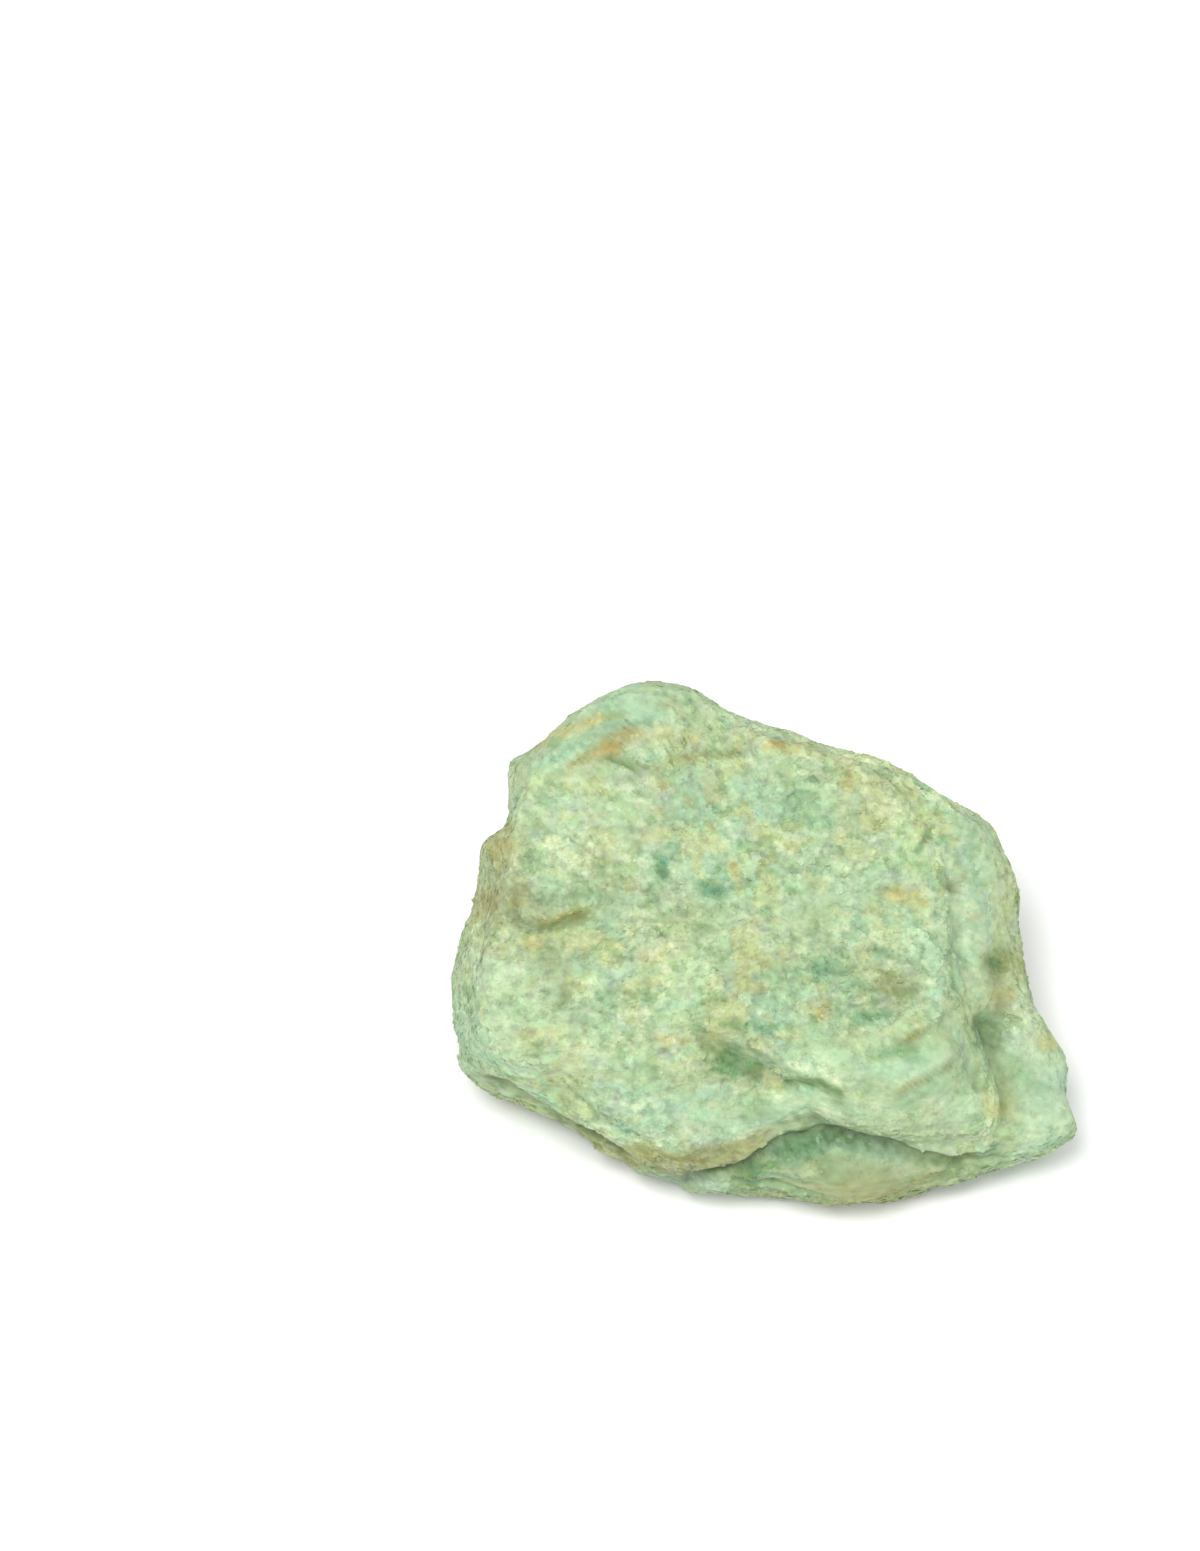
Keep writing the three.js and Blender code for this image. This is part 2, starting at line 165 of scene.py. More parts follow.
# gentle swells and hollows: place, half length, half width, turn in degrees, height or depth
SWELLS = [
    ((-19, 8.5), 5, 4, 0, 0.7), ((-17, -7), 8, 5, 0, 0.5), ((2, 10.5), 4.5, 1.8, 0, 0.45),
    ((10, 1.5), 4.5, 1.8, 0, 0.4), ((14, -13), 6, 4, 20, 0.7), ((-6.5, -3), 3, 2.5, 40, 0.35),
    ((-14.5, 18.5), 4, 1.5, 20, 0.5), ((16.5, 8), 1.5, 4, 0, 0.4), ((4.5, -15.8), 4, 1.8, 0, 0.5),
    ((-26, 9), 2.4, 2.6, 0, 0.8), ((2, -19.9), 1.2, 0.7, 20, 0.5), ((7.2, -19.2), 0.9, 0.5, 0, 0.5),
    ((-1.5, -21.8), 1.5, 0.8, 20, 0.45), ((-5, -22.3), 1.2, 0.6, 10, 0.4),
    ((-24.8, 16.8), 2, 2.4, -20, 1.5),
]
HOLLOWS = [
    ((-8.5, 5.5), 3.5, 1.6, -30, 0.35), ((-3, 13.6), 3, 1.2, 25, 0.4), ((7, -2), 5, 1.3, 5, 0.5),
    ((0, -7.6), 4, 1.4, -5, 0.5), ((11.5, -4), 2.2, 1.1, 28, 0.5), ((-21, 0.5), 3.5, 1.8, 0, 0.35),
    ((4.8, -20.6), 1.2, 0.6, 0, 0.4), ((-26.2, 12), 1.8, 1.5, 0, 0.9), ((18.8, -22.6), 3.8, 1.8, 20, 1.2),
]
# smooth sheared places between the sugary ones: place, half length, half width, turn in degrees, strength
SMOOTH = [
    ((15, -12), 8, 5.5, 10, 1.0), ((2, -15.4), 6, 2.2, 12, 1.0), ((9, -22), 9, 3, 0, 1.0),
    ((-16, 21), 11, 4, 30, 0.9), ((20.5, 2), 3, 12, 0, 0.8), ((26.5, -14), 4, 5, 0, 0.8),
    ((5, 4), 4, 2.5, 0, 0.5), ((7, -10.5), 5, 1.2, -30, 0.8), ((-7, -14.5), 3, 1.6, 0, 0.6),
]


def smoothstep(x):
    """0 below 0, 1 above 1, and 3x^2 - 2x^3 between."""
    x = np.clip(x, 0, 1)
    return x * x * (3 - 2 * x)


def unit(v):
    """The vectors of an array, each divided by its length."""
    v = np.asarray(v, float)
    return v / np.maximum(np.linalg.norm(v, axis=-1, keepdims=True), 1e-12)


# ---- noise ----


def lattice(i, j, k, seed):
    """A fixed random number from -1 to 1 for each lattice corner: the fraction of a large sine."""
    s = np.sin(i * 127.1 + j * 311.7 + k * 74.7 + seed * 53.3) * 43758.5453
    return 2 * (s - np.floor(s)) - 1


def noise(p, size, seed):
    """Lattice values blended by a quintic curve between the eight corners round each point."""
    q = p / size
    f = np.floor(q)
    t = q - f
    t = t * t * t * (t * (t * 6 - 15) + 10)
    total = 0
    for corner in np.ndindex(2, 2, 2):
        weight = np.prod(np.where(corner, t, 1 - t), axis=-1)
        total = total + weight * lattice(*np.moveaxis(f + corner, -1, 0), seed)
    return total


def octaves(p, size, count, seed):
    """Noise plus half as much of noise about half as wide, and so on."""
    return sum(0.5**o * noise(p, size / 2.03**o, seed + o) for o in range(count))


def cells(p, size, seed):
    """Nearest point of a jittered lattice: the vector from it, and four random numbers of its own."""
    grid = np.floor(p / size)
    best = np.full(p.shape[:-1], np.inf)
    away = np.zeros(p.shape)
    own = np.zeros(p.shape[:-1] + (4,))
    for step in np.ndindex(3, 3, 3):
        ijk = np.moveaxis(grid + np.array(step) - 1, -1, 0)
        jitter = np.stack([lattice(*ijk, seed + s) for s in range(3)], -1)
        gap = p - (np.moveaxis(ijk, 0, -1) + 0.5 + 0.45 * jitter) * size
        distance = (gap**2).sum(-1)
        near = distance < best
        best = np.where(near, distance, best)
        away = np.where(near[..., None], gap, away)
        mine = np.stack([lattice(*ijk, seed + 3 + s) for s in range(4)], -1)
        own = np.where(near[..., None], mine, own)
    return away, own


# ---- the bodies ----


def polar_outline(points):
    """Angles and radii of an outline's points, in order of angle, with two repeated at each end."""
    x, y = np.array(points, float).T
    angle, radius = np.arctan2(y, x), np.hypot(x, y)
    order = np.argsort(angle)
    order = np.concatenate([order[-2:], order, order[:2]])
    turn = np.zeros(len(order))
    turn[:2], turn[-2:] = -2 * np.pi, 2 * np.pi
    return angle[order] + turn, radius[order]


def outline_radius(outline, angle):
    """Cubic Hermite curve of radius over angle, its slopes those between each point's neighbours."""
    a, r = outline
    k = np.clip(np.searchsorted(a, angle, side="right") - 1, 1, len(a) - 3)
    span = a[k + 1] - a[k]
    t = (angle - a[k]) / span
    m0 = (r[k + 1] - r[k - 1]) / (a[k + 1] - a[k - 1]) * span
    m1 = (r[k + 2] - r[k]) / (a[k + 2] - a[k]) * span
    ends = (2 * t**3 - 3 * t**2 + 1) * r[k] + (3 * t**2 - 2 * t**3) * r[k + 1]
    return ends + (t**3 - 2 * t**2 + t) * m0 + (t**3 - t**2) * m1


def slant_at(slants, angle):
    """Straight lines between a wall's slants in eight directions, the first at -180 degrees."""
    return np.interp(angle, np.linspace(-np.pi, np.pi, 9), slants + slants[:1])


def facet(normal, place, height):
    """Plane with this normal through a place on the face plane, at a height over the centre."""
    normal = unit(normal)
    back = (place[1] - height * FACE_UP[1]) / FACE_UP[0]
    return normal, normal @ np.array([place[0], back, height])


FLOOR_FACET = (np.array([0, -np.sin(LAYER_RISE), -np.cos(LAYER_RISE)]), SLAB_CENTRE[2] + SUNK)
BODIES = [
    dict(
        outline=polar_outline(BASE_OUTLINE),
        draw_in_up=[0.6, 0.6, 0.7, 0.7, 0.7, 0.5, 0.5, 0.5],
        draw_in_down=[0.35, 0.6, 0.45, 0.5, 0.3, 0.3, 0.3, 0.3],
        facets=[facet((0.1, -0.1, 1), (20.8, -13), 3.0), FLOOR_FACET],
        sharpness=12,
    ),
    dict(
        outline=polar_outline(SHOULDER_OUTLINE),
        draw_in_up=[0.5] * 8,
        draw_in_down=[0.3] * 8,
        facets=[facet((0.12, 0, 1), (20.5, 2), 5.4), FLOOR_FACET],
        sharpness=12,
    ),
    dict(
        outline=polar_outline(BLOCK_OUTLINE),
        draw_in_up=[0.35, 0.3, 0.25, 0.4, 0.6, 0.5, 0.6, 0.5],
        draw_in_down=[0.3, 0.45, 0.3, 0.5, 0.5, 0.3, 0.3, 0.3],
        facets=[
            facet((0.02, 0.02, 1), (-6.3, 4.4), 8.6),
            facet((-0.1, 0.5, 0.85), (-12.1, 17.5), 8.4),
            facet((-0.1, -0.26, 0.96), (-10.2, -14.5), 6),
            facet((0.6, 0.1, 0.79), (13.6, 6.3), 8.6),
            facet((-0.55, 0.05, 0.83), (-23.7, -1.5), 7.6),
            facet((0.3, 0.35, 0.88), (8.2, 15), 8.4),
            FLOOR_FACET,
        ],
        sharpness=16,
    ),
    dict(
        outline=polar_outline(SHEET_OUTLINE),
        draw_in_up=[0.4, 0.15, 0.1, 0.3, 0.6, 0.5, 0.6, 0.5],
        draw_in_down=[0.3, 0.3, 0.3, 0.4, 0.5, 0.3, 0.3, 0.3],
        facets=[
            facet((-0.04, 0.08, 1), (1.4, -10.2), 9.2),
            facet((0.2, -0.28, 0.94), (13, -13), 7.6),
            facet((0.62, 0, 0.78), (16.9, -1.5), 8.4),
            facet((0.3, 0.35, 0.88), (8.2, 15), 8.6),
            FLOOR_FACET,
        ],
        sharpness=16,
    ),
]


def body_surface(direction, outline, draw_in_up, draw_in_down, facets, sharpness):
    """Radius and normal of one body: 1 / radius is the p-norm of its wall's and its facets' terms."""
    x, y, z = np.moveaxis(direction, -1, 0)
    flat = np.maximum(np.hypot(x, y), 1e-9)
    angle = np.arctan2(y, x)
    radius = outline_radius(outline, angle) * 2 ** (1 / sharpness)
    up, down = slant_at(draw_in_up, angle), -slant_at(draw_in_down, angle)
    terms = []
    for slant in (up, down):
        gradient = np.stack([x / flat, y / flat, slant], -1) / radius[..., None]
        terms.append((np.maximum(flat + slant * z, 0) / radius, gradient))
    for normal, distance in facets:
        terms.append((np.maximum(direction @ normal, 0) / distance, normal / distance))
    total = sum(term**sharpness for term, _ in terms)
    slope = sum((term ** (sharpness - 1))[..., None] * gradient for term, gradient in terms)
    return total ** (-1 / sharpness), unit(slope)


def rough_surface(direction):
    """Union of the bodies: a soft maximum of their radii, and their normals blended alike."""
    made = [body_surface(direction, **body) for body in BODIES]
    radii = np.stack([radius for radius, _ in made])
    largest = radii.max(0)
    weights = np.exp((radii - largest) * JOIN_SHARPNESS)
    radius = largest + np.log(weights.sum(0)) / JOIN_SHARPNESS
    normal = sum(weight[..., None] * normal for weight, (_, normal) in zip(weights, made))
    return radius[..., None] * direction, unit(normal)


# ---- the grid of directions ----


def half_directions(count, side):
    """A square grid bent into a disc, and the disc into a dome that meets the other half at its rim."""
    line = np.linspace(-1, 1, count + 1)
    a, b = np.meshgrid(line, line)
    x, y = a * np.sqrt(1 - b * b / 2), b * np.sqrt(1 - a * a / 2)
    reach = np.minimum(np.hypot(x, y), 1)
    polar = np.arctan2(DOME_STEEPNESS * reach, 1 - reach**DOME_EDGE)
    angle = np.arctan2(y, x)
    dome = [np.sin(polar) * np.cos(angle), np.sin(polar) * np.sin(angle), side * np.cos(polar)]
    return np.stack(dome, -1)


def neighbour_middle(own, other):
    """Middle of each grid point's four neighbours. Past the rim, the neighbour is the other half's."""
    left = np.concatenate([other[:, 1:2], own[:, :-1]], 1)
    right = np.concatenate([own[:, 1:], other[:, -2:-1]], 1)
    low = np.concatenate([other[1:2], own[:-1]], 0)
    high = np.concatenate([own[1:], other[-2:-1]], 0)
    return (left + right + low + high) / 4


def relaxed_directions(count, rounds, finer):
    """Both halves' directions after rounds of moving each point to its neighbours' middle, then made finer
    by straight lines between the points, so that the faces have about one size all over the stone."""
    halves = [half_directions(count, 1), half_directions(count, -1)]
    for _ in range(rounds):
        points = [rough_surface(half)[0] for half in halves]
        halves = [unit(neighbour_middle(points[k], points[1 - k])) for k in (0, 1)]
    place = np.arange(count * finer + 1) / finer
    low = np.minimum(place.astype(int), count - 1)
    t = (place - low)[:, None, None]
    fine = []
    for half in halves:
        rows = half[low] * (1 - t) + half[low + 1] * t
        rows = np.swapaxes(rows, 0, 1)
        fine.append(unit(np.swapaxes(rows[low] * (1 - t) + rows[low + 1] * t, 0, 1)))
    return fine


# ---- ledges, grooves, layers and flakes ----


def face_place(p):
    """Where slab points lie on the face plane, with a small wander of 3 mm and 1 mm waves."""
    right = p[..., 0] + 0.35 * noise(p, 3.0, 21) + 0.08 * noise(p, 1.1, 23)
    up = p[..., 1] * FACE_UP[0] + p[..., 2] * FACE_UP[1]
    return right, up + 0.35 * noise(p, 3.0, 22) + 0.08 * noise(p, 1.1, 24)


def near_line(place, points):
    """Signed distance to a line of points, positive on its left, and the share of its length passed."""
    right, up = place
    corners = np.array(points, float)
    runs = np.diff(corners, axis=0)
    lengths = np.hypot(*runs.T)
    passed = np.concatenate([[0], np.cumsum(lengths)])
    best = np.full(right.shape, np.inf)
    side = np.ones(right.shape)
    along = np.zeros(right.shape)
    for (x0, y0), (dx, dy), length, start in zip(corners, runs, lengths, passed):
        t = np.clip(((right - x0) * dx + (up - y0) * dy) / length**2, 0, 1)
        gap_x, gap_y = right - x0 - t * dx, up - y0 - t * dy
        distance = np.hypot(gap_x, gap_y)
        near = distance < best
        best = np.where(near, distance, best)
        side = np.where(near, np.where(dx * gap_y - dy * gap_x < 0, -1, 1), side)
        along = np.where(near, (start + t * length) / passed[-1], along)
    return best * side, along


def ends(along, first, last):
    """1 along a line, falling to 0 over a share of its length at each end."""
    return smoothstep(along / first) * smoothstep((1 - along) / last)


def stairs(value, step, riser):
    """How far a value is from the nearest stair of a flight whose risers take this share of a step."""
    part = value / step - np.floor(value / step)
    return (smoothstep((part - 0.5) / riser + 0.5) - part) * step


def blots(place, marks):
    """Strongest of a list of oval marks: each falls from its strength at its middle as a bell curve."""
    right, up = place
    strongest = np.zeros(right.shape)
    for (x, y), length, width, turn, strength in marks:
        cos, sin = np.cos(np.radians(turn)), np.sin(np.radians(turn))
        u = ((right - x) * cos + (up - y) * sin) / length
        v = ((up - y) * cos - (right - x) * sin) / width
        strongest = np.maximum(strongest, strength * np.exp(-(u * u + v * v)))
    return strongest


def cut_marks(p, normal, direction, place, topside):
    """Raises the ledges, each a step on the left of its line that dies away over its reach, and cuts the
    creases and grooves, each a bell curve across its line. Also returns the painted shade at the foot of
    each ledge's step and in the creases and grooves."""
    painted_shade = np.zeros(topside.shape)
    for line, height, reach, softness in LEDGES:
        distance, along = near_line(place, line)
        share = ends(along, 0.25, 0.15) * topside
        rise = smoothstep(distance / softness * 0.5 + 0.5) * np.exp(-np.maximum(distance, 0) / reach)
        p = p + ACROSS * (height * rise * share)[..., None]
        foot = np.exp(-np.maximum(-distance, 0) / 0.5) * smoothstep(-distance / softness * 0.5 + 0.8)
        painted_shade = np.maximum(painted_shade, 0.5 * height * foot * share)
    for line, depth, width in CREASES:
        distance, along = near_line(place, line)
        cut = ends(along, 0.2, 0.2) * topside * np.exp(-((distance / width) ** 2))
        p = p - normal * (depth * cut)[..., None]
        painted_shade = np.maximum(painted_shade, 0.6 * cut)
    seen = smoothstep((direction[..., 2] + 0.25) / 0.1)
    for line, depth, width in GROOVES:
        distance, along = near_line(place, line)
        cut = ends(along, 0.15, 0.2) * seen * np.exp(-((distance / width) ** 2))
        p = p - direction * (depth * cut)[..., None]
        painted_shade = np.maximum(painted_shade, cut)
    return p, painted_shade


def break_layers(p, normal, calm, layer_step):
    """Layers are level in slab axes but for noise. They break in stairs, most on the right and at the back,
    and stand out as ragged ribs of flattened noise on steep sides. Also returns the depth in the layers."""
    layer = p[..., 2] + octaves(p, 11.0, 2, 31) + 0.35 * noise(p, 3.0, 33) + 0.3 * noise(p, 1.2, 34)
    right = smoothstep((p[..., 0] - 8) / 8) * smoothstep((p[..., 1] + 14) / 6)
    back = smoothstep((p[..., 1] - 10) / 6)
    front = smoothstep((-p[..., 1] - 15) / 4)
    left = smoothstep((-p[..., 0] - 20) / 5) * smoothstep((normal[..., 2] + 0.3) / 0.3)
    share = (0.2 + 0.15 * np.maximum(right, back) - 0.15 * front) * smoothstep((normal[..., 2] + 0.2) / 0.5)
    share = share * (1 - 0.5 * calm) * (1 - 0.5 * left)
    p = p + ACROSS * (share * stairs(layer, layer_step, 0.4))[..., None]
    steep = np.clip(1 - normal[..., 2] ** 2, 0, 1)
    wide = np.stack([p[..., 0] / 9, p[..., 1] / 9, layer / 0.9], -1)
    thin = np.stack([p[..., 0] / 3, p[..., 1] / 3, layer / 0.6], -1)
    ribs = 0.5 * noise(wide, 1.0, 41) + 0.15 * noise(thin, 1.0, 43)
    ribs = ribs * steep * (1 - 0.4 * right) * (1 - 0.6 * left) * (1 - 0.5 * calm)
    return p + normal * ribs[..., None], layer


def split_flakes(p, normal, calm, plate_step, flake_relief):
    """Plates are stairs of a noise height on the flat faces. A flake is a cell of a jittered lattice, with
    a tilt and a height of its own: large and small flakes are added up, and calm places keep a fifth."""
    height = 0.9 * octaves(p, 7.0, 3, 61) + 0.25 * noise(p, 0.9, 65)
    plates = height + stairs(height, plate_step, 0.35)
    flat = smoothstep((np.abs(normal[..., 2]) - 0.4) / 0.4) * (1 - 0.4 * calm)
    p = p + normal * (0.45 * plates * flat)[..., None]
    bent = p + 0.5 * np.stack([noise(p, 1.1, seed) for seed in (53, 54, 55)], -1)
    flakes = 0.06 * noise(p, 0.7, 51)
    for size, tilt, seed in ((2.4, 0.04, 71), (1.3, 0.05, 77)):
        away, own = cells(bent * np.array([1, 1, 1.5]), size, seed)
        flakes = flakes + tilt * (away * own[..., :3]).sum(-1) + 0.03 * size * own[..., 3]
    sugary = 1 - 0.8 * calm
    return p + normal * (flake_relief * flakes * sugary)[..., None], sugary


def carved(direction, settings):
    """Surface points in slab axes for the directions from the centre: the bodies with lumps, swells, marks,
    broken layers and flakes. Also the painted shade in the cuts, the place on the face plane, how far the
    surface faces up, the depth in the layers, and how sugary the surface is."""
    p, normal = rough_surface(direction)
    topside = smoothstep((normal[..., 2] + 0.1) / 0.3)
    lumps = 0.8 * octaves(p, 13.0, 2, 3) + 0.35 * octaves(p, 5.0, 2, 7)
    p = p + normal * lumps[..., None]
    place = face_place(p)
    p = p + normal * ((blots(place, SWELLS) - blots(place, HOLLOWS)) * topside)[..., None]
    place = face_place(p)
    p, painted_shade = cut_marks(p, normal, direction, place, topside)
    calm = blots(place, SMOOTH) * topside
    p, layer = break_layers(p, normal, calm, settings.layer_step / MM)
    p, sugary = split_flakes(p, normal, calm, settings.plate_step / MM, settings.flake_relief)
    return p, painted_shade, place, topside, layer, sugary


def relief(halves, rounds):
    """How far each point stands out of the surface smoothed by rounds of moving to the neighbours' middle,
    in mm along the way out from the centre. Below zero in hollows."""
    smooth = list(halves)
    for _ in range(rounds):
        smooth = [neighbour_middle(smooth[k], smooth[1 - k]) for k in (0, 1)]
    return [((own - even) * unit(even)).sum(-1) for own, even in zip(halves, smooth)]
